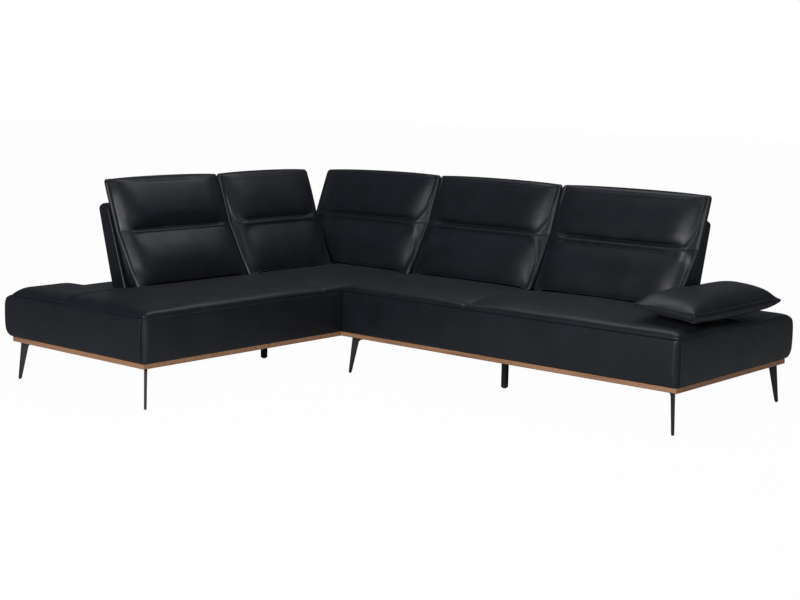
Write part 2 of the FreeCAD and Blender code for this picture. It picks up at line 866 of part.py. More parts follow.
def make_seats():
    """The four seat pads."""
    right = size("right_wing_length")
    left = size("left_wing_length")
    depth = size("wing_depth")
    border = size("border_thickness")
    split = size("seat_split")
    left_split = size("left_seat_split")

    def at(along, crown_fall=0.0, roll_fall=0.0, deck_lift=0.0, seam_lift=0.0):
        return SeatStation(
            along,
            seam_top + size("crown_rise") - crown_fall,
            seam_top + size("front_roll_rise") - roll_fall,
            deck_top + deck_lift,
            seam_top + size("welt_height") + seam_lift,
            rear_seam_top + size("welt_height"),
        )

    seats = (
        ("left_seat", "left", -left, -left_split, left_seat_stations(at)),
        ("corner_seat", "left", -left_split, depth, corner_seat_stations(at)),
        ("middle_seat", "right", 0.0, split, middle_seat_stations(at)),
        ("right_seat", "right", split, right, right_seat_stations(at)),
    )
    far = 2 * (left + right)
    for label, wing, low, high, stations in seats:
        pad = loft([station.section() for station in stations])
        tools = [
            Part.makeBox(2 * far, far, far, FreeCAD.Vector(-far, depth, 0)),
            seat_tool_box((-far, far), (-far, border), seam_top),
            seat_tool_box((-far, far), (frame_depth, far), rear_seam_top),
        ]
        if label == "left_seat":
            tools.append(seat_tool_box((-far, border - left), (-far, far), seam_top))
        if label == "right_seat":
            tools.append(seat_tool_box((right - border, far), (-far, far), seam_top))
        if label == "corner_seat":
            tools.append(seat_tool_box((frame_depth, far), (-far, far), rear_seam_top))
        tools += guide_tools(wing, low, high)
        if wing == "left":
            tools += corner_unit_grooves(low, high)
        else:
            tools += hinge_slots(low, high)
        pad = pad.cut(tools).removeSplitter()
        add_feature(label, pad, wing_placement(wing))


def corner_unit_grooves(low, high):
    """Grooves of the corner unit, turned from the right wing's axes to the left wing's."""
    tools = []
    if low < guide_start < high:
        to_left = wing_placement("left").inverse().multiply(wing_placement("right"))
        for tool in guide_tools("right", -size("wing_depth"), 0.0):
            tool.Placement = to_left.multiply(tool.Placement)
            tools.append(tool)
    return tools


# Blade legs, posts, glides, corner blocks and connectors

LEG_REAR = "(%s - Sizes.leg_inset)" % FRAME_DEPTH
LEFT_LEG = "(%s + Sizes.leg_inset)" % LEFT_END
RIGHT_LEG = "(Sizes.right_wing_length - Sizes.leg_inset)"

# Every blade leg: name, wing, place along and across it, and the direction of its arm
LEGS = (
    ("left_front_leg", "left", LEFT_LEG, "Sizes.leg_inset", 45.0),
    ("left_rear_leg", "left", LEFT_LEG, LEG_REAR, -45.0),
    ("corner_rear_leg", "left", LEG_REAR, LEG_REAR, -135.0),
    ("inner_corner_leg", "right", "Sizes.inner_leg_inset", "Sizes.leg_inset", 45.0),
    ("joint_rear_leg", "right", "Sizes.inner_leg_inset", LEG_REAR, -45.0),
    ("right_front_leg", "right", RIGHT_LEG, "Sizes.leg_inset", 135.0),
    ("right_rear_leg", "right", RIGHT_LEG, LEG_REAR, -135.0),
)


def make_leg(label, wing, along, depth, direction):
    """A blade leg like a 7: a level arm under the rails and a tapered, splayed blade."""
    body = new_body(label, wing, along, depth)
    turn = FreeCAD.Rotation(VERTICAL, WING_ANGLE[wing] + direction)
    body.Placement = FreeCAD.Placement(body.Placement.Base, turn)
    knee = "%s - %s" % (COVER_BOTTOM, cell("leg_knee_drop"))
    fork = "%s + %s" % (cell("leg_blade_top"), cell("leg_fork_run"))
    foot = "-%s" % cell("leg_splay")
    corners = [
        ("0", COVER_BOTTOM),
        (foot, cell("glide_height")),
        ("%s + %s" % (foot, cell("leg_blade_foot")), cell("glide_height")),
        (cell("leg_blade_top"), knee),
        (fork, "%s + %s" % (knee, cell("leg_fork_rise"))),
        (cell("leg_arm_length"), "%s - %s" % (COVER_BOTTOM, cell("leg_arm_tip"))),
        (cell("leg_arm_length"), COVER_BOTTOM),
    ]
    sketch = add_polygon_sketch(body, label + "_profile", "XZ_Plane", corners)
    add_pad(body, sketch, label + "_pad", cell("leg_thickness"), symmetric=True)
    holes = body.newObject("Sketcher::SketchObject", label + "_holes")
    plane = [item for item in body.Origin.OriginFeatures if item.Role == "XY_Plane"][0]
    holes.AttachmentSupport = [(plane, "")]
    holes.MapMode = "FlatFace"
    radius = size("screw_hole_radius")
    for index, reach in enumerate(("screw_first", "screw_second")):
        circle = Part.Circle(FreeCAD.Vector(size(reach), 0, 0), VERTICAL, radius)
        holes.addGeometry(circle, False)
        holes.addConstraint(Sketcher.Constraint("PointOnObject", index, 3, -1))
        place = holes.addConstraint(
            Sketcher.Constraint("DistanceX", -1, 1, index, 3, size(reach))
        )
        holes.setExpression("Constraints[%d]" % place, cell(reach))
        width = holes.addConstraint(Sketcher.Constraint("Radius", index, radius))
        holes.setExpression("Constraints[%d]" % width, cell("screw_hole_radius"))
    add_pocket_through(body, holes, label + "_screw_holes")
    return finish(body, label)


def make_posts():
    """Square support posts under the middle of each module."""
    half = "%s / 2" % cell("post_side")
    height = (cell("glide_height"), COVER_BOTTOM)
    places = (
        ("left_post", "left", "-" + cell("left_post_along"), cell("left_post_depth")),
        ("right_post", "right", cell("right_post_along"), cell("right_post_depth")),
    )
    posts = []
    for label, wing, along, depth in places:
        sides = []
        for centre in (along, depth):
            sides.append(("%s - %s" % (centre, half), "%s + %s" % (centre, half)))
        posts.append(finish(wing_box(label, wing, sides[0], sides[1], height), label))
    return posts


def make_glides(legs, posts):
    """A round glide under the foot of every leg and post."""
    doc.recompute()
    glides = []
    foot = FreeCAD.Vector(size("leg_blade_foot") / 2 - size("leg_splay"), 0, 0)
    middle = FreeCAD.Vector(size("post_side") / 2, size("post_side") / 2, 0)
    for items, reach, radius in ((legs, foot, "glide_radius"), (posts, middle, "post_glide_radius")):
        for item in items:
            centre = item.Placement.multVec(reach)
            centre.z = 0
            glides.append(Part.makeCylinder(size(radius), size("glide_height"), centre))
    add_feature("floor_glides", Part.makeCompound(glides))


def make_corner_blocks():
    """Triangular timber blocks in the corners of the frame, above the arms of the legs."""
    side = size("corner_block_side")
    border = size("border_thickness")
    rail = size("rail_thickness")
    inner_front = border + rail
    inner_rear = frame_depth - rail
    left_inner = inner_front - size("left_wing_length")
    right_inner = size("right_wing_length") - inner_front
    corners = [
        ("left", left_inner, inner_front, 0),
        ("left", left_inner, inner_rear, -90),
        ("left", inner_rear, inner_rear, 180),
        ("right", rail, inner_front, 0),
        ("right", rail, inner_rear, -90),
        ("right", right_inner, inner_front, 90),
        ("right", right_inner, inner_rear, 180),
    ]
    blocks = []
    for wing, along, depth, direction in corners:
        outline = Part.makePolygon(
            [
                FreeCAD.Vector(0, 0, 0),
                FreeCAD.Vector(side, 0, 0),
                FreeCAD.Vector(0, side, 0),
                FreeCAD.Vector(0, 0, 0),
            ]
        )
        block = Part.Face(outline).extrude(VERTICAL * size("corner_block_height"))
        block.Placement = wing_placement(wing, along, depth, size("leg_height")).multiply(
            FreeCAD.Placement(FreeCAD.Vector(0, 0, 0), FreeCAD.Rotation(VERTICAL, direction))
        )
        blocks.append(block)
    add_feature("corner_blocks", Part.makeCompound(blocks))


def make_connectors():
    """Flat steel plates that bridge the joint of the two modules from below."""
    plates = []
    length = size("connector_length")
    width = size("connector_width")
    thick = size("connector_thickness")
    for depth in (size("connector_inset"), frame_depth - size("connector_inset")):
        plate = Part.makeBox(length, width, thick)
        holes = []
        for reach in (size("connector_hole_inset"), length - size("connector_hole_inset")):
            hole = Part.makeCylinder(size("connector_hole_radius"), thick)
            hole.translate(FreeCAD.Vector(reach, width / 2, 0))
            holes.append(hole)
        plate = plate.cut(holes)
        base = wing_placement("right", -length / 2, depth - width / 2, cover_bottom - thick)
        plate.Placement = base
        plates.append(plate)
    add_feature("module_connectors", Part.makeCompound(plates))


# Back units: a crowned cushion and a leaning panel on two brackets that run in guide rails


def back_units():
    """Every back unit: name, wing, start and end along the wing, and the shape of its sides.

    The last two values widen the upper right side or draw in its foot."""
    half_gap = size("unit_gap") / 2
    left_line = -(size("left_seat_split") + size("unit_gap"))
    joint_line = -size("joint_shift")
    split_line = size("seat_split") + size("unit_gap")
    corner_start = size("corner_back_inset") - size("wing_depth")
    inner_end = size("seat_depth") - size("corner_gap")
    right_end = armrest_edge + size("right_back_overlap")
    flare = size("inner_back_flare")
    tuck = size("right_back_tuck")
    left_start = left_line - size("left_back_width")
    return [
        ("left_back", "left", left_start, left_line - half_gap, 0, 0),
        ("inner_back", "left", left_line + half_gap, inner_end, flare, 0),
        ("corner_back", "right", corner_start, joint_line - half_gap, 0, 0),
        ("middle_back", "right", joint_line + half_gap, split_line - half_gap, 0, 0),
        ("right_back", "right", split_line + half_gap, right_end, 0, tuck),
    ]


def bracket_places(start, end):
    """The two places along a unit where its brackets stand."""
    share = size("bracket_share") / 100 * (end - start)
    return (start + share, end - share)


def guide_places():
    """Every guide rail: the wing and the place along it."""
    places = []
    for _, wing, start, end, _, _ in back_units():
        for along in bracket_places(start, end):
            places.append((wing, along))
    return places


def guide_length():
    """The rail holds the runner and its travel, with a little play at the end."""
    return size("runner_length") + slide_travel + size("guide_end_play")


def make_guides():
    """C shaped steel channels, sunk flush into the deck."""
    width = size("guide_width")
    height = size("guide_height")
    wall = size("guide_wall")
    slot = size("guide_slot")
    length = guide_length()
    channels = []
    for wing, along in guide_places():
        bar = Part.makeBox(width, length, height)
        hollow = Part.makeBox(width - 2 * wall, length - 2 * wall, height - 2 * wall)
        hollow.translate(FreeCAD.Vector(wall, wall, wall))
        mouth = Part.makeBox(slot, length - 2 * wall, height)
        mouth.translate(FreeCAD.Vector((width - slot) / 2, wall, wall))
        channel = bar.cut([hollow, mouth])
        channel.Placement = wing_placement(wing, along - width / 2, guide_start, deck_top - height)
        channels.append(channel)
    add_feature("back_guide_rails", Part.makeCompound(channels))


def make_brackets(label, wing, start, end):
    """Two bent steel straps, each with a stem and a runner in its guide rail."""
    wall = size("guide_wall")
    play = size("runner_play")
    runner_bottom = deck_top - size("guide_height") + wall + play
    runner_top = deck_top - wall - play
    runner_width = size("guide_width") - 2 * wall - 2 * play
    runner_start = guide_start + wall + play
    thick = size("bracket_thickness")
    lean = size("panel_lean") / (panel_top - panel_bottom)
    foot = panel_bottom
    top = panel_top - size("bracket_top_drop")
    face_bottom = panel_front
    face_top = face_bottom + lean * (top - foot)
    stem_front = face_bottom - thick
    solids = []
    for along in bracket_places(start, end):
        runner = Part.makeBox(runner_width, size("runner_length"), runner_top - runner_bottom)
        runner.translate(FreeCAD.Vector(-runner_width / 2, runner_start, runner_bottom))
        stem = Part.makeBox(size("stem_width"), size("stem_depth"), foot - runner_top)
        stem.translate(FreeCAD.Vector(-size("stem_width") / 2, stem_front, runner_top))
        half = size("bracket_width") / 2
        outline = Part.makePolygon(
            [
                FreeCAD.Vector(-half, stem_front, foot - thick),
                FreeCAD.Vector(-half, stem_front + size("stem_depth"), foot - thick),
                FreeCAD.Vector(-half, stem_front + size("stem_depth"), foot),
                FreeCAD.Vector(-half, face_bottom, foot),
                FreeCAD.Vector(-half, face_top, top),
                FreeCAD.Vector(-half, face_top - thick, top),
                FreeCAD.Vector(-half, stem_front, foot),
                FreeCAD.Vector(-half, stem_front, foot - thick),
            ]
        )
        strap = Part.Face(outline).extrude(FreeCAD.Vector(2 * half, 0, 0))
        bracket = runner.fuse([stem, strap]).removeSplitter()
        bracket.Placement = wing_placement(wing, along)
        solids.append(bracket)
    add_feature(label + "_brackets", Part.makeCompound(solids))


def make_panel(label, wing, start, end):
    """A padded back panel: a leaning board with a rounded top edge."""
    body = doc.addObject("PartDesign::Body", label + "_panel")
    body.Placement = wing_placement(wing, (start + end) / 2)
    corners = [
        (PANEL_FRONT, PANEL_BOTTOM),
        ("%s + %s" % (PANEL_FRONT, cell("panel_foot_thickness")), PANEL_BOTTOM),
        ("%s + %s" % (PANEL_FRONT_TOP, cell("panel_top_thickness")), PANEL_TOP),
        (PANEL_FRONT_TOP, PANEL_TOP),
    ]
    sketch = add_polygon_sketch(body, label + "_panel_profile", "YZ_Plane", corners)
    width = "%s - 2 * %s" % (end - start, cell("panel_side_inset"))
    pad = add_pad(body, sketch, label + "_panel_pad", width, symmetric=True)
    doc.recompute()
    rear = edges_at(pad, 0, (None, panel_rear_top, panel_top))
    top = add_fillet(body, pad, label + "_panel_top", cell("panel_top_rounding"), rear)
    doc.recompute()
    front = edges_at(top, 0, (None, panel_front_top, panel_top))
    add_fillet(body, top, label + "_panel_edge", cell("panel_edge_rounding"), front)
    finish(body, label + "_panel")


# Shape of a cushion's front between its middle and its side seams, as shares of the roll
SHOULDER_FALL = 0.18
ROLL_FALL = 0.58
ROLL_TURN = 0.4

# Straight spans that stand for one edge roll and for the crown between the rolls
ROLL_SPANS = 3
CROWN_SPANS = 4

# How a cushion stands out along its side seams, as shares of the crown
EDGE_BACK = 0.35
EDGE_SWELL = 0.65

# Shares of the cushion's height: the flare is full from here up, the tucked foot ends here
FLARE_FULL = 0.8
TUCK_END = 0.45

# Up a lobe: share of its height, of the bulge, and of the draw at its sides
LOWER_LOBE = ((0, 0, 1), (0.1, 0.45, 0.5), (0.25, 0.8, 0.15), (0.5, 1, 0), (0.75, 0.8, 0.1))
UPPER_LOBE = ((0.1, 0.42, 0.4), (0.3, 0.75, 0.1), (0.55, 0.8, 0), (0.8, 0.55, 0.15), (0.93, 0.3, 0.5))
CHANNEL = ((0.92, 0.4, 0.4), (1, 0, 0.65))
TOP_EDGE = ((1, 0, 1),)


def cushion_section(height, left, right, rear, front, edge_front):
    """One level slice of a back cushion: straight rear and sides, a crowned front.

    front is the depth of the crown's middle, edge_front the depth at both side seams."""

    def point(along, depth):
        return FreeCAD.Vector(along, depth, height)

    roll = size("cushion_edge_roll")
    rise = edge_front - front
    shoulder = front + SHOULDER_FALL * rise
    turn = edge_front - ROLL_FALL * rise
    middle = (left + right) / 2
    right_shoulder = point(right - roll, shoulder)
    left_shoulder = point(left + roll, shoulder)
    right_turn = point(right - roll * ROLL_TURN, turn)
    left_turn = point(left + roll * ROLL_TURN, turn)
    edges = [
        line(point(left, rear), point(right, rear)),
        line(point(right, rear), point(right, edge_front)),
    ]
    edges += spans(point(right, edge_front), right_turn, right_shoulder, ROLL_SPANS)
    edges += spans(right_shoulder, point(middle, front), left_shoulder, CROWN_SPANS)
    edges += spans(left_shoulder, left_turn, point(left, edge_front), ROLL_SPANS)
    edges.append(line(point(left, edge_front), point(left, rear)))
    return Part.Wire(edges)


def make_cushion(label, wing, start, end, flare, tuck):
    """A back cushion of two crowned lobes with a sewn channel between them."""
    draw = size("cushion_side_draw")
    crown = size("cushion_crown")
    bulge = size("cushion_bulge")
    height_all = cushion_top - cushion_bottom
    rear_lean = (cushion_rear_top - cushion_rear_bottom) / height_all

    def slice_at(height, front_line, swell, pull):
        share = (height - cushion_bottom) / height_all
        widen = flare * math.sin(math.pi * min(1.0, share / FLARE_FULL) / 2)
        drawn = tuck * max(0.0, 1.0 - share / TUCK_END)
        return cushion_section(
            height,
            start + pull * draw,
            end - pull * draw + widen - drawn,
            cushion_rear_bottom + rear_lean * (height - cushion_bottom),
            front_line - swell * bulge,
            front_line + crown * (EDGE_BACK + EDGE_SWELL * swell),
        )

    lobes = (
        (LOWER_LOBE + CHANNEL, cushion_bottom, cushion_seam, size("seat_depth"), cushion_front_seam),
        (UPPER_LOBE + TOP_EDGE, cushion_seam, cushion_top, cushion_front_seam, cushion_front_top),
    )
    sections = []
    for shape, low, high, front_low, front_high in lobes:
        for share, swell, pull in shape:
            height = low + (high - low) * share
            front_line = front_low + (front_high - front_low) * share
            sections.append(slice_at(height, front_line, swell, pull))
    add_feature(label + "_cushion", loft(sections), wing_placement(wing))


def make_back_units():
    """Cushion, panel and brackets of all five units."""
    for label, wing, start, end, flare, tuck in back_units():
        make_cushion(label, wing, start, end, flare, tuck)
        make_panel(label, wing, start, end - tuck)
        make_brackets(label, wing, start, end)


# Armrest: a lens shaped pad on two hinges whose blades rise through the right seat


def armrest_section(depth, half_width, boxing, top, under):
    """One cross section of the pad: two boxing sides, a crowned top and a crowned underside."""
    centre = armrest_edge + size("armrest_width") / 2
    low = armrest_middle - boxing / 2
    high = armrest_middle + boxing / 2

    def point(side, height):
        return FreeCAD.Vector(centre + side, depth, height)

    left_high = point(-half_width, high)
    right_high = point(half_width, high)
    right_low = point(half_width, low)
    left_low = point(-half_width, low)
    edges = [line(left_low, left_high)]
    edges += spans(left_high, point(0, high + top), right_high, PAD_TOP_SPANS)
    edges.append(line(right_high, right_low))
    edges += spans(right_low, point(0, low - under), left_low, PAD_UNDER_SPANS)
    return Part.Wire(edges)


def hinge_slots(low, high):
    """Slots in the seat for the hinge blades and their feet."""
    tools = []
    if low < hinge_along < high:
        play = size("hinge_side_play")
        thick = size("hinge_plate_thickness")
        length = size("hinge_knuckle_length")
        foot = size("hinge_foot_length")
        for depth in hinge_depths:
            slot = Part.makeBox(thick + 2 * play, length + 2 * play, armrest_middle)
            slot.translate(
                FreeCAD.Vector(hinge_along - thick / 2 - play, depth - length / 2 - play, 0)
            )
            recess = Part.makeBox(foot + 2 * play, length + 2 * play, thick + play)
            recess.translate(
                FreeCAD.Vector(
                    hinge_along - foot / 2 - play, depth - length / 2 - play, seat_base - play
                )
            )
            tools += [slot, recess]
    return tools


def make_hinge_plates():
    """The fixed halves: a foot on the cross rail, a blade up through the seat, a knuckle."""
    thick = size("hinge_plate_thickness")
    length = size("hinge_knuckle_length")
    foot = size("hinge_foot_length")
    bore = size("hinge_pin_radius") + size("hinge_pin_play")
    plates = []
    for depth in hinge_depths:
        start = depth - length / 2
        flange = Part.makeBox(foot, length, thick)
        flange.translate(FreeCAD.Vector(hinge_along - foot / 2, start, rail_top))
        blade = Part.makeBox(thick, length, hinge_height - rail_top)
        blade.translate(FreeCAD.Vector(hinge_along - thick / 2, start, rail_top))
        centre = FreeCAD.Vector(hinge_along, start, hinge_height)
        along_y = FreeCAD.Vector(0, 1, 0)
        knuckle = Part.makeCylinder(size("hinge_knuckle_radius"), length, centre, along_y)
        hole = Part.makeCylinder(bore, length, centre, along_y)
        plates.append(flange.fuse([blade, knuckle]).cut(hole))
    add_feature("armrest_hinge_plates", Part.makeCompound(plates), wing_placement("right"))


def hinge_arm_parts(depth):
    """The moving half of one hinge: two ears, the pin and the arm plate inside the pad."""
    length = size("hinge_knuckle_length")
    play = size("hinge_side_play")
    ear = size("hinge_ear_length")
    radius = size("hinge_knuckle_radius")
    thick = size("hinge_arm_thickness")
    reach = length / 2 + play
    plate_start = hinge_along + radius + size("hinge_arm_gap")
    along_y = FreeCAD.Vector(0, 1, 0)
    pieces = []
    for side in (depth - reach - ear, depth + reach):
        centre = FreeCAD.Vector(hinge_along, side, hinge_height)
        pieces.append(Part.makeCylinder(radius, ear, centre, along_y))
        web = Part.makeBox(plate_start - hinge_along + thick, ear, thick)
        web.translate(FreeCAD.Vector(hinge_along, side, hinge_height - thick / 2))
        pieces.append(web)
    pin_start = FreeCAD.Vector(hinge_along, depth - reach - ear, hinge_height)
    pin_length = 2 * (reach + ear)
    pin = Part.makeCylinder(size("hinge_pin_radius"), pin_length, pin_start, along_y)
    plate = Part.makeBox(size("hinge_arm_length"), size("hinge_arm_width"), thick)
    plate.translate(
        FreeCAD.Vector(
            plate_start, depth - size("hinge_arm_width") / 2, hinge_height - thick / 2
        )
    )
    return pieces + [pin, plate]


def make_hinge_arms():
    """Both moving halves."""
    arms = []
    for depth in hinge_depths:
        pieces = hinge_arm_parts(depth)
        arms.append(pieces[0].fuse(pieces[1:]).removeSplitter())
    add_feature("armrest_hinge_arms", Part.makeCompound(arms), wing_placement("right"))


# Straight spans across the pad's crowned top and underside
PAD_TOP_SPANS = 8
PAD_UNDER_SPANS = 6

# Along the pad: share of its length, and share of its full crown
ARMREST_SWELL = (
    (0, 0), (0.05, 0.24), (0.12, 0.5), (0.22, 0.76), (0.35, 0.94), (0.5, 1),
    (0.65, 0.94), (0.78, 0.76), (0.88, 0.5), (0.95, 0.24), (1, 0),
)


def make_armrest_pad():
    """The pad: sections from one pointed end to the other, cut out round the hinges."""
    half = size("armrest_width") / 2
    boxing = size("armrest_boxing")
    top = size("armrest_top_crown")
    under = size("armrest_under_crown")
    end = size("armrest_end_crown")
    sections = []
    for share, swell in ARMREST_SWELL:
        depth = size("armrest_front") + size("armrest_length") * share
        crown = end + (top - end) * swell
        belly = end + (under - end) * swell
        pull = size("armrest_end_draw") * (1 - swell) ** 2
        sections.append(armrest_section(depth, half - pull, boxing, crown, belly))
    pad = loft(sections)
    tools = []
    radius = size("hinge_knuckle_radius")
    play = size("hinge_side_play")
    for depth in hinge_depths:
        reach = size("hinge_knuckle_length") / 2 + size("hinge_ear_length") + 2 * play
        gap = size("hinge_notch_gap")
        notch = Part.makeBox(hinge_along + radius + gap, 2 * reach, hinge_height + radius + gap)
        notch.translate(FreeCAD.Vector(0, depth - reach, 0))
        tools += [notch] + hinge_arm_parts(depth)
    pad = pad.cut(tools)
    add_feature("armrest_pad", pad, wing_placement("right"))


make_trims()
make_rails()
make_dust_covers()
make_webbing()
make_borders()
make_seats()
blade_legs = [make_leg(*leg) for leg in LEGS]
support_posts = make_posts()
make_glides(blade_legs, support_posts)
make_corner_blocks()
make_connectors()
make_guides()
make_back_units()
make_hinge_plates()
make_hinge_arms()
make_armrest_pad()

doc.recompute()

for item in doc.Objects:
    if "Invalid" in item.State or "Error" in item.State:
        raise RuntimeError("%s failed to rebuild" % item.Label)

os.makedirs("parts", exist_ok=True)
for part in parts:
    if part.Shape.isNull() or not part.Shape.isValid():
        raise RuntimeError("%s has no valid shape" % part.Label)
    part.Shape.exportStep("parts/%s.step" % part.Label)
    print("%-24s solids %2d  volume %12.0f" % (part.Label, len(part.Shape.Solids), part.Shape.Volume))
print("%d parts" % len(parts))
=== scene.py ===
import logging
import math
from dataclasses import dataclass, field
from enum import Enum
from typing import Callable, Sequence

import bmesh
import bpy
from mathutils import Matrix, Vector, noise


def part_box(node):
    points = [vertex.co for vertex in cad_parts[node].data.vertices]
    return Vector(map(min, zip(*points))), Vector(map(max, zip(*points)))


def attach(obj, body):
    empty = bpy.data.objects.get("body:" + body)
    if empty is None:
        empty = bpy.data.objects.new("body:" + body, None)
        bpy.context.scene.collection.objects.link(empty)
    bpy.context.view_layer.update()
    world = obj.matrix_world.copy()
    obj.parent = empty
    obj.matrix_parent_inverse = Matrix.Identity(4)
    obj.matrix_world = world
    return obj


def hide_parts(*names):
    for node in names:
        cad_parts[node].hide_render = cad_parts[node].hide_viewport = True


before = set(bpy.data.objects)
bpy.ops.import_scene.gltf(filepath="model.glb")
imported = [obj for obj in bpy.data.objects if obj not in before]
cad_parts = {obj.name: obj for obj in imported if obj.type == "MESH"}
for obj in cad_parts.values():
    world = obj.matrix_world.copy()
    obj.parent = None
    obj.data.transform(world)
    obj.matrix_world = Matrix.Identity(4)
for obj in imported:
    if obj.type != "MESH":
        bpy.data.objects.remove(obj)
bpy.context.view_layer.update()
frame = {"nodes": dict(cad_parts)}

log = logging.getLogger("corner_sofa")

INNER_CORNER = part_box("right_front_border")[0]

# The platform's rear edge: its depth behind the front, its height, and its upper and lower rounding
PLATFORM_DEPTH = 1.035
REAR_TOP = 0.424
REAR_ROUNDING = 0.070
REAR_TUCK = 0.054

# The free front corners of borders and seats, seen from above
FRONT_CORNER = 0.022

Piece = bpy.types.Object
Node = bpy.types.Node
Material = bpy.types.Material
Table = Sequence[tuple[float, float]]
Shaper = Callable[[float, float, float], Vector]


# Small helpers of the pattern room


def smooth_step(low: float, high: float, value: float) -> float:
    """A soft step from 0 at low to 1 at high."""
    share = min(1.0, max(0.0, (value - low) / (high - low)))
    return share * share * (3.0 - 2.0 * share)


def fade(low: float, high: float, value: float) -> float:
    """A soft step down from 1 at low to 0 at high."""
    return 1.0 - smooth_step(low, high, value)


def roll(distance: float, reach: float) -> float:
    """The rise of a rounded edge: 0 at the edge, 1 from reach on, upright at the edge."""
    share = min(1.0, max(0.0, distance / reach))
    return math.sqrt(max(0.0, 1.0 - (1.0 - share) ** 2))


def slope(table: Table, number: int) -> float:
    """The tangent at one of a table's inner points, 0 at its ends and at its turning points."""
    if number <= 0 or number >= len(table) - 1:
        return 0.0
    (x0, y0), (x1, y1), (x2, y2) = table[number - 1 : number + 2]
    before = (y1 - y0) / (x1 - x0)
    after = (y2 - y1) / (x2 - x1)
    return 0.0 if before * after <= 0.0 else 2.0 * before * after / (before + after)


def read_table(table: Table, value: float) -> float:
    """Read a smooth curve through a table of pairs.

    Args:
        table: Pairs of place and value, in rising order of place.
        value: The place to read at; beyond the table its ends hold.

    Returns:
        The value there, on a cubic curve that doesn't overshoot its points.
    """
    if value <= table[0][0]:
        return table[0][1]
    if value >= table[-1][0]:
        return table[-1][1]
    index = next(i for i in range(1, len(table)) if value <= table[i][0])
    (x0, y0), (x1, y1) = table[index - 1 : index + 1]
    run = x1 - x0
    t = (value - x0) / run
    first = slope(table, index - 1) if index > 1 else (y1 - y0) / run
    last = slope(table, index) if index < len(table) - 1 else (y1 - y0) / run
    return (
        (2 * t**3 - 3 * t**2 + 1) * y0
        + (t**3 - 2 * t**2 + t) * run * first
        + (-2 * t**3 + 3 * t**2) * y1
        + (t**3 - t**2) * run * last
    )


def lumps(place: Vector, size: float, depth: float) -> float:
    """Slow unevenness of foam under leather, in lumps of one size."""
    return depth * noise.noise(place / size)


def even_stops(low: float, high: float, pitch: float) -> list[float]:
    """Places from low to high, both with them, about a pitch apart."""
    count = max(1, round((high - low) / pitch))
    return [low + (high - low) * index / count for index in range(count + 1)]


def edge_stops(length: float, margins: Sequence[float], pitch: float) -> list[float]:
    """Places across a panel, close together near both edges.

    Args:
        length: The panel's width.
        margins: Distances from each edge where a loop runs.
        pitch: The widest spacing in the middle.

    Returns:
        The places in rising order, from 0 to length.
    """
    reach = margins[-1]
    middle = even_stops(reach, length - reach, pitch)
    return [0.0, *margins[:-1], *middle, *[length - m for m in reversed(margins[:-1])], length]


def rounded(first: float, second: float, reach: float) -> tuple[float, float]:
    """Turn a square corner of a sheet into a round one.

    Args:
        first: Distance from one edge.
        second: Distance from the other edge.
        reach: The corner's radius.

    Returns:
        Both distances on the rounded sheet.
    """
    if first >= reach or second >= reach:
        return first, second
    one, two = 1.0 - max(0.0, first) / reach, 1.0 - max(0.0, second) / reach
    return (
        reach * (1.0 - one * math.sqrt(1.0 - two * two / 2.0)) + min(0.0, first) * (1.0 - two),
        reach * (1.0 - two * math.sqrt(1.0 - one * one / 2.0)) + min(0.0, second) * (1.0 - one),
    )


def front_corner(along: float, depth: float, outer: float, outward: float) -> tuple[float, float]:
    """Round a free front corner, seen from above.

    Args:
        along: A point's place along the wing.
        depth: Its depth.
        outer: Where the wing ends.
        outward: 1 at the wing's far end, -1 at its start.

    Returns:
        Its new place along the wing and its new depth.
    """
    gap, depth = rounded((outer - along) * outward, depth, FRONT_CORNER)
    return outer - outward * gap, depth


def rear_edge(depth: float, height: float) -> tuple[float, float]:
    """Round the platform's upper rear edge over: the new depth and height of a point."""
    gap, fall = rounded(PLATFORM_DEPTH - depth, REAR_TOP - height, REAR_ROUNDING)
    return PLATFORM_DEPTH - gap, REAR_TOP - fall


class Wing(Enum):
    """The two wings of the L, each with its own along, depth and height."""

    RIGHT = "right"
    LEFT = "left"

    def place(self, along: float, depth: float, height: float) -> Vector:
        """Turn a place on this wing into the frame's metres."""
        if self is Wing.RIGHT:
            return Vector((INNER_CORNER.x + along, INNER_CORNER.y + depth, height))
        return Vector((INNER_CORNER.x - depth, INNER_CORNER.y + along, height))


# Mesh work


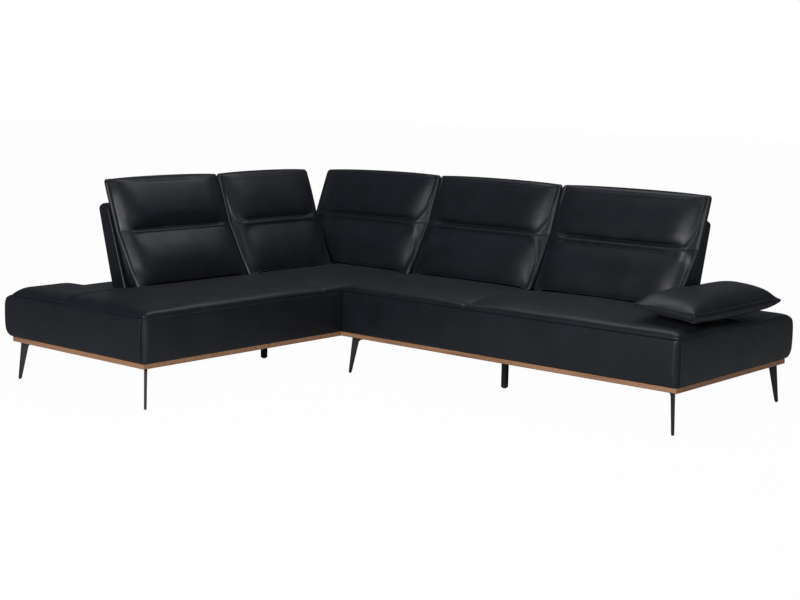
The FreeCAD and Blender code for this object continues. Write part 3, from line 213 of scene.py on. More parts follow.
@dataclass
class Blank:
    """A closed block of quads that a shaper turns into a soft form.

    across, up and through are the places of its loops, in the shaper's own units.
    """

    across: Sequence[float]
    up: Sequence[float]
    through: Sequence[float]
    stops: list[Vector] = field(default_factory=list)

    def cut(self) -> bmesh.types.BMesh:
        """Make the block: a cube cut into loops, each vertex at its stop."""
        mesh = bmesh.new()
        bmesh.ops.create_cube(mesh, size=1.0, matrix=Matrix.Translation((0.5, 0.5, 0.5)))
        loops = (self.across, self.up, self.through)
        for axis, places in enumerate(loops):
            if len(places) > 2:
                edges = [edge for edge in mesh.edges if self.runs_along(edge, axis)]
                bmesh.ops.subdivide_edges(mesh, edges=edges, cuts=len(places) - 2, use_grid_fill=True)
        for vertex in mesh.verts:
            vertex.co = Vector(
                places[round(vertex.co[axis] * (len(places) - 1))] for axis, places in enumerate(loops)
            )
        return mesh

    @staticmethod
    def runs_along(edge: bmesh.types.BMEdge, axis: int) -> bool:
        """Whether an edge runs along one axis."""
        run = edge.verts[1].co - edge.verts[0].co
        return abs(run[axis]) > 0.9 * run.length

    def form(self, name: str, shaper: Shaper) -> Piece:
        """Shape the block and make it an object.

        Args:
            name: The object's name.
            shaper: Gives the frame's place for an across, up and through.

        Returns:
            The new object at the origin, its place in its mesh.
        """
        mesh = self.cut()
        self.stops = [vertex.co.copy() for vertex in mesh.verts]
        for vertex in mesh.verts:
            vertex.co = shaper(*vertex.co)
        return finish_mesh(mesh, name)

    def along_seams(self, seam: Callable[[float, float, float], bool]) -> list[int]:
        """The vertices that a test picks by their across, up and through."""
        return [number for number, stop in enumerate(self.stops) if seam(*stop)]


def add_object(name: str, data: bpy.types.ID) -> Piece:
    """Put new data into the scene as an object."""
    thing = bpy.data.objects.new(name, data)
    bpy.context.scene.collection.objects.link(thing)
    return thing


def finish_mesh(mesh: bmesh.types.BMesh, name: str) -> Piece:
    """Turn a bmesh, which is freed, into a smooth shaded object at the origin."""
    bmesh.ops.recalc_face_normals(mesh, faces=mesh.faces)
    for face in mesh.faces:
        face.smooth = True
    data = bpy.data.meshes.new(name)
    mesh.to_mesh(data)
    mesh.free()
    return add_object(name, data)


def add_subdivision(piece: Piece, levels: int = 1) -> None:
    """Smooth a piece with a subdivision surface, the same in view and render."""
    modifier = piece.modifiers.new("Fullness", "SUBSURF")
    modifier.levels = levels
    modifier.render_levels = levels
    modifier.boundary_smooth = "PRESERVE_CORNERS"


# Finishes


@dataclass(frozen=True)
class Shade:
    """A linear colour."""

    red: float
    green: float
    blue: float

    def rgba(self) -> tuple[float, float, float, float]:
        """The colour with full cover."""
        return (self.red, self.green, self.blue, 1.0)

    def scaled(self, share: float) -> "Shade":
        """The same hue, darker or lighter."""
        return Shade(self.red * share, self.green * share, self.blue * share)


class Graph:
    """A material's node tree and the few moves its finishes need."""

    def __init__(self, name: str) -> None:
        """Start a material with an empty Principled surface."""
        self.material = bpy.data.materials.new(name)
        self.material.use_nodes = True
        self.tree = self.material.node_tree
        self.surface = self.tree.nodes["Principled BSDF"]

    def set(self, node: Node, **values: object) -> None:
        """Set a node's inputs, with spaces written as underscores, or properties in lower case."""
        for key, value in values.items():
            if key[0].islower():
                setattr(node, key, value)
            else:
                node.inputs[key.replace("_", " ")].default_value = value

    def add(self, kind: str, **values: object) -> Node:
        """Add a node, its type without the leading ShaderNode, and set its values."""
        node = self.tree.nodes.new("ShaderNode" + kind)
        self.set(node, **values)
        return node

    def link(self, source: Node, output: str, target: Node, entry: str) -> None:
        """Join one node's output to another node's input."""
        self.tree.links.new(source.outputs[output], target.inputs[entry])

    def coordinates(self, scale: Sequence[float] = (1, 1, 1), turn: float = 0.0) -> Node:
        """Object coordinates, scaled and turned about Z."""
        mapping = self.add("Mapping", Scale=tuple(scale), Rotation=(0.0, 0.0, turn))
        self.link(self.add("TexCoord"), "Object", mapping, "Vector")
        return mapping

    def texture(self, kind: str, place: Node, **values: object) -> Node:
        """A texture that is read at a place."""
        node = self.add("Tex" + kind, **values)
        self.link(place, "Vector", node, "Vector")
        return node

    def colour(self, source: Node, output: str, *stops: tuple[float, Shade]) -> None:
        """Colour the surface by a ramp over a texture."""
        node = self.add("ValToRGB")
        self.link(source, output, node, "Fac")
        elements = node.color_ramp.elements
        while len(elements) < len(stops):
            elements.new(0.5)
        for element, (place, shade) in zip(elements, stops):
            element.position = place
            element.color = shade.rgba()
        self.link(node, "Color", self.surface, "Base Color")

    def gloss(self, source: Node, low: float, high: float) -> None:
        """Let the surface's roughness wander between two values with a texture."""
        node = self.add("MapRange", To_Min=low, To_Max=high)
        self.link(source, "Fac", node, "Value")
        self.link(node, "Result", self.surface, "Roughness")

    def relief(self, source: Node, output: str, strength: float, distance: float,
               below: Node | None = None) -> Node:
        """Give the surface a bump, perhaps over a coarser one, and return it for a finer one."""
        node = self.add("Bump", Strength=strength, Distance=distance)
        self.link(source, output, node, "Height")
        if below is not None:
            self.link(below, "Normal", node, "Normal")
        self.link(node, "Normal", self.surface, "Normal")
        return node


@dataclass(frozen=True)
class Leather:
    """Smooth, semi-gloss, corrected grain leather: near black with a cool cast."""

    name: str = "black_leather"
    dark: Shade = Shade(0.0042, 0.0053, 0.0086)
    light: Shade = Shade(0.0088, 0.0108, 0.0165)
    pebble: float = 620.0
    crease: float = 34.0

    def material(self) -> Material:
        """Grain, slow creases, uneven gloss and slight wear of the finish."""
        graph = Graph(self.name)
        place = graph.coordinates()
        mottle = graph.texture("Noise", place, Scale=7.0, Detail=5.0, Roughness=0.6)
        graph.colour(mottle, "Fac", (0.32, self.dark), (0.72, self.light))
        graph.gloss(graph.texture("Noise", place, Scale=16.0, Detail=4.0, Roughness=0.55), 0.36, 0.50)
        slack = graph.texture("Noise", place, Scale=self.crease, Detail=3.0, Roughness=0.5, Distortion=0.6)
        folds = graph.relief(slack, "Fac", 0.10, 0.004)
        grain = graph.texture("Voronoi", place, Scale=self.pebble, feature="SMOOTH_F1")
        graph.relief(grain, "Distance", 0.10, 0.0005, folds)
        graph.set(graph.surface, Specular_IOR_Level=0.42, Sheen_Weight=0.012, Sheen_Roughness=0.5)
        return graph.material


@dataclass(frozen=True)
class Oak:
    """Light oiled oak whose grain runs along one wing."""

    name: str
    turn: float
    pale: Shade = Shade(0.395, 0.205, 0.110)
    deep: Shade = Shade(0.225, 0.105, 0.052)

    def material(self) -> Material:
        """Long grain, fine pores and a satin oil finish."""
        graph = Graph(self.name)
        place = graph.coordinates((2.2, 45.0, 45.0), self.turn)
        figure = graph.texture("Noise", place, Scale=1.0, Detail=6.0, Roughness=0.62, Distortion=0.7)
        graph.colour(figure, "Fac", (0.30, self.deep), (0.52, self.pale), (0.75, self.pale.scaled(1.15)))
        pores = graph.coordinates((24.0, 900.0, 900.0), self.turn)
        graph.relief(graph.texture("Noise", pores, Scale=1.0, Detail=3.0), "Fac", 0.25, 0.0004)
        graph.gloss(figure, 0.42, 0.58)
        return graph.material


@dataclass(frozen=True)
class FrameTimber:
    """Planed softwood of the underframe."""

    name: str = "planed_pine"
    pale: Shade = Shade(0.560, 0.390, 0.215)
    deep: Shade = Shade(0.360, 0.215, 0.105)

    def material(self) -> Material:
        """Wide growth rings and saw marks."""
        graph = Graph(self.name)
        place = graph.coordinates((7.0, 7.0, 38.0))
        rings = graph.texture("Noise", place, Scale=1.0, Detail=5.0, Distortion=1.2)
        graph.colour(rings, "Fac", (0.35, self.deep), (0.65, self.pale))
        graph.relief(rings, "Fac", 0.3, 0.001)
        graph.set(graph.surface, Roughness=0.7)
        return graph.material


@dataclass(frozen=True)
class PowderCoat:
    """Matte black powder coat on the legs and posts."""

    name: str = "black_powder_coat"
    base: Shade = Shade(0.0085, 0.0085, 0.0090)

    def material(self) -> Material:
        """Fine orange peel, slightly uneven gloss."""
        graph = Graph(self.name)
        place = graph.coordinates()
        graph.relief(graph.texture("Noise", place, Scale=900.0, Detail=2.0), "Fac", 0.22, 0.0003)
        dust = graph.texture("Noise", place, Scale=30.0, Detail=4.0)
        graph.colour(dust, "Fac", (0.35, self.base), (0.75, self.base.scaled(1.9)))
        graph.gloss(dust, 0.42, 0.56)
        return graph.material


@dataclass(frozen=True)
class ZincSteel:
    """Bright zinc plated fittings."""

    name: str = "zinc_steel"
    base: Shade = Shade(0.42, 0.43, 0.45)

    def material(self) -> Material:
        """Plated metal with rolling marks."""
        graph = Graph(self.name)
        marks = graph.texture("Noise", graph.coordinates((60.0, 60.0, 900.0)), Scale=1.0, Detail=3.0)
        graph.colour(marks, "Fac", (0.3, self.base.scaled(0.7)), (0.7, self.base))
        graph.gloss(marks, 0.28, 0.46)
        graph.set(graph.surface, Metallic=1.0)
        return graph.material


@dataclass(frozen=True)
class DustCloth:
    """Thin black spun-bonded cloth under the frame."""

    name: str = "dust_cloth"
    base: Shade = Shade(0.012, 0.012, 0.013)

    def material(self) -> Material:
        """Spot-bonded texture."""
        graph = Graph(self.name)
        spots = graph.texture("Voronoi", graph.coordinates(), Scale=420.0)
        graph.colour(spots, "Distance", (0.1, self.base.scaled(0.6)), (0.7, self.base.scaled(1.8)))
        graph.relief(spots, "Distance", 0.5, 0.0006)
        graph.set(graph.surface, Roughness=0.95)
        return graph.material


@dataclass(frozen=True)
class Webbing:
    """Elastic upholstery webbing, woven in stripes."""

    name: str = "elastic_webbing"
    pale: Shade = Shade(0.30, 0.27, 0.22)
    deep: Shade = Shade(0.045, 0.042, 0.040)

    def material(self) -> Material:
        """A fine check of warp and weft."""
        graph = Graph(self.name)
        check = graph.texture(
            "Checker", graph.coordinates(), Scale=420.0, Color1=self.pale.rgba(), Color2=self.deep.rgba()
        )
        graph.link(check, "Color", graph.surface, "Base Color")
        graph.relief(check, "Fac", 0.4, 0.0006)
        graph.set(graph.surface, Roughness=0.85)
        return graph.material


@dataclass(frozen=True)
class GlidePlastic:
    """Black moulded plastic glides."""

    name: str = "glide_plastic"
    base: Shade = Shade(0.018, 0.018, 0.019)

    def material(self) -> Material:
        """Moulded skin with scuffs."""
        graph = Graph(self.name)
        scuffs = graph.texture("Noise", graph.coordinates(), Scale=240.0, Detail=4.0)
        graph.colour(scuffs, "Fac", (0.4, self.base), (0.8, self.base.scaled(2.5)))
        graph.relief(scuffs, "Fac", 0.2, 0.0003)
        graph.set(graph.surface, Roughness=0.6)
        return graph.material


class Finishes:
    """Every finish of the sofa, made once."""

    def __init__(self) -> None:
        """Make the materials."""
        self.leather = Leather().material()
        self.right_oak = Oak("oak_along_right", 0.0).material()
        self.left_oak = Oak("oak_along_left", math.pi / 2).material()
        self.timber = FrameTimber().material()
        self.coat = PowderCoat().material()
        self.steel = ZincSteel().material()
        self.cloth = DustCloth().material()
        self.webbing = Webbing().material()
        self.plastic = GlidePlastic().material()


def dress(piece: Piece, finishes: Finishes) -> None:
    """Give a new piece its leather and log that it is made."""
    piece.data.materials.append(finishes.leather)
    log.info("%s made", piece.name)


def upholster(piece: Piece, finishes: Finishes, body: str, node: str) -> None:
    """Dress a padded piece and let it stand for its solid.

    Args:
        piece: The piece.
        finishes: The finishes to dress it with.
        body: The body that it rides on.
        node: The solid's node.
    """
    dress(piece, finishes)
    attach(piece, body)
    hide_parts(node)


# Cloth work: covers relax over their foam, all at once


@dataclass
class Cover:
    """One leather cover, the vertices that its seams hold, and how far the others may move."""

    piece: Piece
    held: list[int]
    reach: float


@dataclass
class CoverShop:
    """Runs every cover's simulation together and writes the results into the meshes."""

    frames: int = 16
    covers: list[Cover] = field(default_factory=list)

    CLOTH = {
        "quality": 4,
        "mass": 0.01,
        "tension_stiffness": 15.0,
        "compression_stiffness": 15.0,
        "shear_stiffness": 6.0,
        "bending_stiffness": 1.0,
        "vertex_group_mass": "held",
        "pin_stiffness": 1.0,
        "use_pressure": True,
        "uniform_pressure_force": 4.0,
        "shrink_min": -0.010,
    }

    def prepare(self, cover: Cover) -> None:
        """Give a cover its cloth and hold its seams."""
        group = cover.piece.vertex_groups.new(name="held")
        group.add(cover.held, 1.0, "REPLACE")
        cloth = cover.piece.modifiers.new("Cover", "CLOTH")
        for name, value in self.CLOTH.items():
            setattr(cloth.settings, name, value)
        cloth.settings.effector_weights.gravity = 0.0
        cloth.collision_settings.use_collision = False
        cloth.collision_settings.use_self_collision = False
        cloth.point_cache.frame_start = 1
        cloth.point_cache.frame_end = self.frames

    def settle(self, cover: Cover, graph: bpy.types.Depsgraph) -> None:
        """Keep a cover's relaxed shape, within its reach."""
        relaxed = cover.piece.evaluated_get(graph).to_mesh()
        vertices = cover.piece.data.vertices
        moves = [soft.co - vertex.co for vertex, soft in zip(vertices, relaxed.vertices)]
        cover.piece.evaluated_get(graph).to_mesh_clear()
        for _ in range(3):
            moves = self.evened(cover, moves)
        for vertex, move in zip(vertices, moves):
            if move.length > cover.reach:
                move *= cover.reach / move.length
            vertex.co += move

    @staticmethod
    def evened(cover: Cover, moves: list[Vector]) -> list[Vector]:
        """Share each point's move with its neighbours', so that no kink stays at a held seam."""
        totals = [move.copy() for move in moves]
        counts = [1] * len(moves)
        for edge in cover.piece.data.edges:
            for here, there in (edge.vertices, reversed(edge.vertices)):
                totals[here] += moves[there]
                counts[here] += 1
        result = [total / count for total, count in zip(totals, counts)]
        for number in cover.held:
            result[number] = Vector((0.0, 0.0, 0.0))
        return result

    def run(self) -> None:
        scene = bpy.context.scene
        for cover in self.covers:
            self.prepare(cover)
        for number in range(1, self.frames + 1):
            scene.frame_set(number)
        graph = bpy.context.evaluated_depsgraph_get()
        for cover in self.covers:
            self.settle(cover, graph)
        for cover in self.covers:
            cover.piece.modifiers.clear()
            cover.piece.vertex_groups.clear()
            log.info("%s relaxed", cover.piece.name)
        scene.frame_set(1)

    def finish(self) -> None:
        """Relax the covers and smooth them."""
        self.run()
        for cover in self.covers:
            add_subdivision(cover.piece)


# Studio


@dataclass
class Studio:
    """Pale floor, soft lamps, a plain surround and the camera of the photograph."""

    eye: tuple[float, float, float] = (4.6073, -5.2924, 1.4891)
    lens: float = 67.436
    yaw: float = 0.712135
    pitch: float = 0.150164
    tilt: float = 0.0187378
    floor_grey: Shade = Shade(0.62, 0.62, 0.63)
    glow: float = 0.985
    surround: float = 0.11
    surround_tint: Shade = Shade(0.82, 0.91, 1.0)
    white: Shade = Shade(1.0, 1.0, 1.0)

    # Name, place, target, size in metres and power in watts: a broad one left of the camera,
    # one overhead and a low fill at the side
    LAMPS = (
        ("front_box", (2.2, -6.2, 3.0), (0.0, 0.2, 0.5), (3.0, 2.2), 330.0),
        ("overhead_box", (0.0, 1.2, 4.0), (0.0, 0.3, 0.4), (3.6, 2.4), 45.0),
        ("side_box", (6.2, -2.2, 2.2), (0.0, 0.2, 0.5), (1.6, 2.0), 24.0),
    )

    def build(self) -> None:
        """Set the stage."""
        self.add_camera()
        self.add_floor()
        for lamp in self.LAMPS:
            self.add_lamp(*lamp)
        self.add_surround()
        bpy.context.scene.view_settings.view_transform = "Standard"

    def add_camera(self) -> None:
        """Place the camera where the photograph was taken from."""
        run = math.cos(self.pitch)
        ahead = Vector((-math.sin(self.yaw) * run, math.cos(self.yaw) * run, -math.sin(self.pitch)))
        level = Vector((math.cos(self.yaw), math.sin(self.yaw), 0.0))
        upward = level.cross(ahead)
        right = level * math.cos(self.tilt) + upward * math.sin(self.tilt)
        top = upward * math.cos(self.tilt) - level * math.sin(self.tilt)
        data = bpy.data.cameras.new("Camera")
        data.lens = self.lens
        data.sensor_width = 36.0
        data.sensor_fit = "HORIZONTAL"
        data.clip_end = 60.0
        camera = add_object("Camera", data)
        turn = Matrix((right, top, -ahead)).transposed().to_4x4()
        camera.matrix_world = Matrix.Translation(self.eye) @ turn
        bpy.context.scene.camera = camera

    @staticmethod
    def show_camera(tree: bpy.types.NodeTree, plain: Node, seen: Node,
                    output: Node, share: float) -> None:
        """Let the camera see another shader than the sofa does.

        Args:
            tree: The node tree.
            plain: The shader that lights the sofa.
            seen: The shader that the camera sees.
            output: The tree's output.
            share: How much of seen the camera sees, to 1.
        """
        path = tree.nodes.new("ShaderNodeLightPath")
        part = tree.nodes.new("ShaderNodeMath")
        part.operation = "MULTIPLY"
        part.inputs[1].default_value = share
        mix = tree.nodes.new("ShaderNodeMixShader")
        tree.links.new(path.outputs["Is Camera Ray"], part.inputs[0])
        for entry, source in enumerate((part, plain, seen)):
            tree.links.new(source.outputs[0], mix.inputs[entry])
        tree.links.new(mix.outputs[0], output.inputs["Surface"])

    def add_floor(self) -> None:
        """A wide white floor that keeps a faint shadow."""
        mesh = bmesh.new()
        bmesh.ops.create_grid(mesh, x_segments=1, y_segments=1, size=30.0)
        floor = finish_mesh(mesh, "floor")
        graph = Graph("studio_floor")
        graph.set(graph.surface, Base_Color=self.floor_grey.rgba(), Roughness=0.9)
        glow = graph.add("Emission", Color=self.white.rgba(), Strength=1.0)
        output = graph.tree.nodes["Material Output"]
        self.show_camera(graph.tree, graph.surface, glow, output, self.glow)
        floor.data.materials.append(graph.material)

    @staticmethod
    def add_lamp(name: str, place: Sequence[float], target: Sequence[float], size: Sequence[float],
                 power: float) -> None:
        """A rectangular soft box that faces a target."""
        data = bpy.data.lights.new(name, "AREA")
        data.shape = "RECTANGLE"
        data.size, data.size_y = size
        data.energy = power
        aim = (Vector(target) - Vector(place)).to_track_quat("-Z", "Y")
        add_object(name, data).matrix_world = Matrix.Translation(place) @ aim.to_matrix().to_4x4()

    def add_surround(self) -> None:
        """A dim even surround that the camera sees as white."""
        world = bpy.data.worlds.new("surround")
        bpy.context.scene.world = world
        world.use_nodes = True
        nodes = world.node_tree.nodes
        nodes.clear()
        output = nodes.new("ShaderNodeOutputWorld")
        shaders = []
        for tint, strength in ((self.surround_tint, self.surround), (self.white, 1.0)):
            shader = nodes.new("ShaderNodeBackground")
            shader.inputs["Color"].default_value = tint.rgba()
            shader.inputs["Strength"].default_value = strength
            shaders.append(shader)
        self.show_camera(world.node_tree, *shaders, output, 1.0)


# Platform: padded borders, seats and the wooden trim


@dataclass
class Skirt:
    """One padded leather border: a block carried along a wing, its outer face slightly full."""

    name: str
    wing: Wing
    start: float
    end: float
    front: float
    back: float
    low: float = 0.206
    high: float = 0.410
    fullness: float = 0.005

    # The block's loops over its height, and how far its face draws in at both seams
    UP = (
        0.0, 0.0012, 0.0035, 0.008, 0.016, 0.03, 0.05, 0.08, 0.11, 0.145, 0.17, 0.185, 0.194, 0.1995,
        0.2022, 0.204,
    )
    PINCH = 0.004

    def loops(self) -> tuple[list[float], list[float]]:
        """The places of the loops across and through."""
        across = edge_stops(self.end - self.start, (0.003, 0.008, 0.014, 0.022, 0.032, 0.045), 0.04)
        depth = self.back - self.front
        return across, [0.0, 0.25 * depth, depth]

    def build(self, finishes: Finishes) -> None:
        """Make the border and dress it."""
        across, through = self.loops()
        piece = Blank(across, self.UP, through).form(self.name + "_skirt", self.place)
        add_subdivision(piece)
        upholster(piece, finishes, "platform", self.name + "_border")

    def level(self, up: float) -> tuple[float, float, float]:
        """The height of a loop, and its face's swell and pinch."""
        share = up / self.UP[-1]
        swell = self.fullness * math.sin(math.pi * min(1.0, max(0.0, share))) ** 0.6
        pinch = self.PINCH * (1.0 - roll(min(up, self.UP[-1] - up), 0.010))
        return self.low + (self.high - self.low) * share, swell, pinch

    def tuck(self, depth: float, height: float) -> float:
        """Draw the lower rear edge in on its large rounding: the new depth."""
        gap = REAR_TUCK - (height - self.low)
        if gap <= 0.0:
            return depth
        line = PLATFORM_DEPTH - REAR_TUCK + math.sqrt(max(0.0, REAR_TUCK**2 - gap**2))
        return min(depth, line)

    def place(self, across: float, up: float, through: float) -> Vector:
        """Where a point of the block lies on the padded border."""
        raise NotImplementedError


@dataclass
class FrontSkirt(Skirt):
    """A border along a wing's front, with a round free corner or a turned-in joint."""

    round_start: bool = False
    round_end: bool = False
    joint_start: bool = False

    def place(self, across: float, up: float, through: float) -> Vector:
        """Where a point of the block lies on the padded border."""
        height, swell, pinch = self.level(up)
        along, depth = self.start + across, self.front + through
        if through == 0.0:
            depth -= swell * roll(min(across, self.end - self.start - across), 0.02)
            depth += pinch
        if self.round_end:
            along, depth = front_corner(along, depth, self.end, 1.0)
        if self.round_start:
            along, depth = front_corner(along, depth, self.start, -1.0)
        if self.joint_start and through == 0.0:
            depth += 0.010 * (1.0 - roll(across, 0.014))
        return self.wing.place(along, depth, height)


@dataclass
class EndSkirt(Skirt):
    """A border across the free end of a wing, from the front corner to the rear edge."""

    at_start: bool = False

    # How thick a layer at the face swells
    FACE = 0.012

    def loops(self) -> tuple[list[float], list[float]]:
        """The places of the loops across and through."""
        width = self.end - self.start
        across = [width * share for share in (0.0, 0.12, 0.32, 0.68, 0.88, 1.0)]
        margins = (0.004, 0.01, 0.02, 0.03, 0.042, 0.054)
        return across, edge_stops(self.back - self.front, margins, 0.04)

    def place(self, across: float, up: float, through: float) -> Vector:
        """Where a point of the block lies on the padded border."""
        height, swell, pinch = self.level(up)
        along, depth = self.start + across, self.front + through
        outer, outward = (self.start, -1.0) if self.at_start else (self.end, 1.0)
        near = abs(along - outer)
        if near < self.FACE:
            along += outward * (swell - pinch) * (1.0 - near / self.FACE)
        along, depth = front_corner(along, depth, outer, outward)
        depth, height = rear_edge(self.tuck(depth, height), height)
        return self.wing.place(along, depth, height)


@dataclass
class RearSkirt(Skirt):
    """A border along a wing's rear, round at its upper and lower edge."""

    high: float = 0.400
    fullness: float = 0.003
    turns_corner: bool = False

    def place(self, across: float, up: float, through: float) -> Vector:
        """Where a point of the block lies on the padded border."""
        height, swell, pinch = self.level(up)
        along, depth = self.start + across, self.front + through
        if through == self.back - self.front:
            depth += swell * 0.6 - pinch
        depth, height = rear_edge(self.tuck(depth, height), height)
        if self.turns_corner:
            along, height = rear_edge(self.tuck(along, height), height)
        return self.wing.place(along, depth, height)


@dataclass
class SeatSection:
    """Heights of a seat from its front seam to its rear seam, by depth."""

    seam: float = 0.416
    roll_top: float = 0.449
    crown: float = 0.470
    deck: float = 0.420
    rear: float = 0.406

    def table(self) -> Table:
        """The section as a table of depth and height."""
        rise = self.roll_top - self.seam
        rear_rise = self.deck - self.rear
        return (
            (0.0, self.seam),
            (0.003, self.seam + 0.30 * rise),
            (0.009, self.seam + 0.52 * rise),
            (0.022, self.seam + 0.75 * rise),
            (0.055, self.roll_top),
            (0.14, self.crown - 0.007),
            (0.28, self.crown),
            (0.42, self.crown - 0.0045),
            (0.50, self.crown - 0.0095),
            (0.535, self.crown - 0.016),
            (0.565, self.crown - 0.030),
            (0.595, self.deck + 0.001),
            (0.64, self.deck),
            (0.965, self.deck),
            (1.000, self.rear + 0.86 * rear_rise),
            (1.020, self.rear + 0.60 * rear_rise),
            (1.031, self.rear + 0.30 * rear_rise),
            (PLATFORM_DEPTH, self.rear),
        )


@dataclass
class Seat:
    """A foam seat whose leather rolls over the front and runs on behind the backs.

    start_roll and end_roll are the rounding of its sides, start_valley and end_valley its dip
    towards its neighbours.
    """

    name: str
    wing: Wing
    start: float
    end: float
    section: SeatSection = field(default_factory=SeatSection)
    start_roll: float = 0.0
    end_roll: float = 0.0
    start_valley: float = 0.0
    end_valley: float = 0.0
    base: float = 0.345

    # Rings below the leather's edge: how far under the welt, and how far inside the outline
    RINGS = {0.0: (None, 0.030), 0.25: (0.0075, 0.0045), 0.5: (0.0052, 0.0040), 0.75: (0.0025, 0.0012)}
    BASE_REAR = 0.062

    DEPTHS = (
        0.0, 0.002, 0.005, 0.009, 0.015, 0.023, 0.034, 0.048, 0.065, 0.09, 0.12, 0.155, 0.19, 0.225,
        0.26, 0.295, 0.33, 0.365, 0.40, 0.43, 0.46, 0.485, 0.51, 0.53, 0.55, 0.57, 0.59, 0.61, 0.64,
        0.70, 0.76, 0.83, 0.90, 0.95, 0.98, 1.0, 1.012, 1.021, 1.028, 1.032, PLATFORM_DEPTH,
    )

    def build(self, finishes: Finishes) -> None:
        """Make the seat and dress it."""
        margins = (0.002, 0.006, 0.012, 0.02, 0.032, 0.048, 0.07)
        across = edge_stops(self.end - self.start, margins, 0.03)
        piece = Blank(across, [*self.RINGS, 1.0], self.DEPTHS).form(self.name + "_pad", self.place)
        add_subdivision(piece)
        upholster(piece, finishes, "platform", self.name)

    def place(self, across: float, up: float, through: float) -> Vector:
        """Where a point of the block lies in the seat."""
        along, depth = self.start + across, through
        if up == 1.0:
            height = self.height(along, through)
        else:
            below, inset = self.RINGS[up]
            height = self.base if below is None else self.seam_height(through) - below
            rear = self.BASE_REAR if below is None else inset
            along = min(max(along, self.start + inset), self.end - inset)
            depth = min(max(through, inset), PLATFORM_DEPTH - rear)
        along, depth = self.plan(along, depth)
        depth, height = rear_edge(depth, height)
        return self.wing.place(along, depth, height)

    def plan(self, along: float, depth: float) -> tuple[float, float]:
        """The outline seen from above: square between two seats."""
        return along, depth

    def seam_height(self, depth: float) -> float:
        """The height of the welts at a depth."""
        if depth < 0.9:
            return self.section.seam
        return self.section.seam + (self.section.rear - self.section.seam) * (depth - 0.9) / 0.135

    def lumps(self, along: float, depth: float) -> float:
        """The foam's unevenness at a place."""
        return lumps(self.wing.place(along, depth, 0.4), 0.21, 0.0022)

    def height(self, along: float, depth: float) -> float:
        """The top of the leather at a place."""
        full = read_table(self.section.table(), depth)
        seam = self.seam_height(depth)
        share = 1.0
        if self.start_roll > 0.0:
            share *= roll(along - self.start, self.start_roll)
        if self.end_roll > 0.0:
            share *= roll(self.end - along, self.end_roll)
        top = full if full < seam else seam + (full - seam) * share
        top -= self.valley(along - self.start, depth, self.start_valley)
        top -= self.valley(self.end - along, depth, self.end_valley)
        return top + self.lumps(along, depth) * share

    @staticmethod
    def valley(distance: float, depth: float, deep: float) -> float:
        """How far the leather dips towards the seam between two seats."""
        lessen = 1.0 - 0.45 * smooth_step(0.12, 0.50, depth) - 0.55 * smooth_step(0.52, 0.64, depth)
        front = smooth_step(0.0, 0.05, depth) * 0.6 + 0.4
        dip = 0.55 * (1.0 - roll(distance, 0.07)) + 0.45 * fade(0.0, 0.26, distance)
        return deep * lessen * front * dip


@dataclass
class OpenEndSeat(Seat):
    """The seat over the open end: its deck rises to where the first back stands."""

    def plan(self, along: float, depth: float) -> tuple[float, float]:
        """Round the free front corner."""
        return front_corner(along, depth, self.start, -1.0)

    def height(self, along: float, depth: float) -> float:
        """The top, with the open end lifted and falling away to its rounded edge."""
        top = super().height(along, depth)
        reach = along - self.start
        behind = smooth_step(0.50, 0.60, depth) * fade(0.93, 1.03, depth)
        lift = 0.030 * behind * roll(reach, 0.08) * fade(0.27, 0.40, reach)
        sink = 0.010 * fade(0.0, 0.40, reach) * (1.0 - behind) * smooth_step(0.0, 0.06, depth)
        return top + lift - sink


@dataclass
class CornerSeat(Seat):
    """The seat of the corner: its deck runs round behind both rows of backs."""

    # Where the other wing's section begins to matter
    TURN = 0.28

    def place(self, across: float, up: float, through: float) -> Vector:
        """Where a point of the block lies, its edge rounded over on both outer sides."""
        spot = super().place(across, up, through) - self.wing.place(0.0, 0.0, 0.0)
        along, height = rear_edge(spot.y, spot.z)
        return self.wing.place(along, -spot.x, height)

    def height(self, along: float, depth: float) -> float:
        """The lower of the two wings' sections."""
        own = super().height(along, depth)
        if along <= self.TURN:
            return own
        return min(own, read_table(self.section.table(), along) + self.lumps(along, depth))


@dataclass
class EndSeat(Seat):
    """The seat that runs on below the armrest, where its crown falls away."""

    armrest_edge: float = 1.604

    def plan(self, along: float, depth: float) -> tuple[float, float]:
        """Round the free front corner."""
        return front_corner(along, depth, self.end, 1.0)

    def height(self, along: float, depth: float) -> float:
        """The top, sinking under the armrest."""
        fall = 0.030 * smooth_step(self.armrest_edge - 0.30, self.end, along)
        fall = fall * smooth_step(0.02, 0.14, depth) * fade(0.5, 0.6, depth)
        return super().height(along, depth) - fall


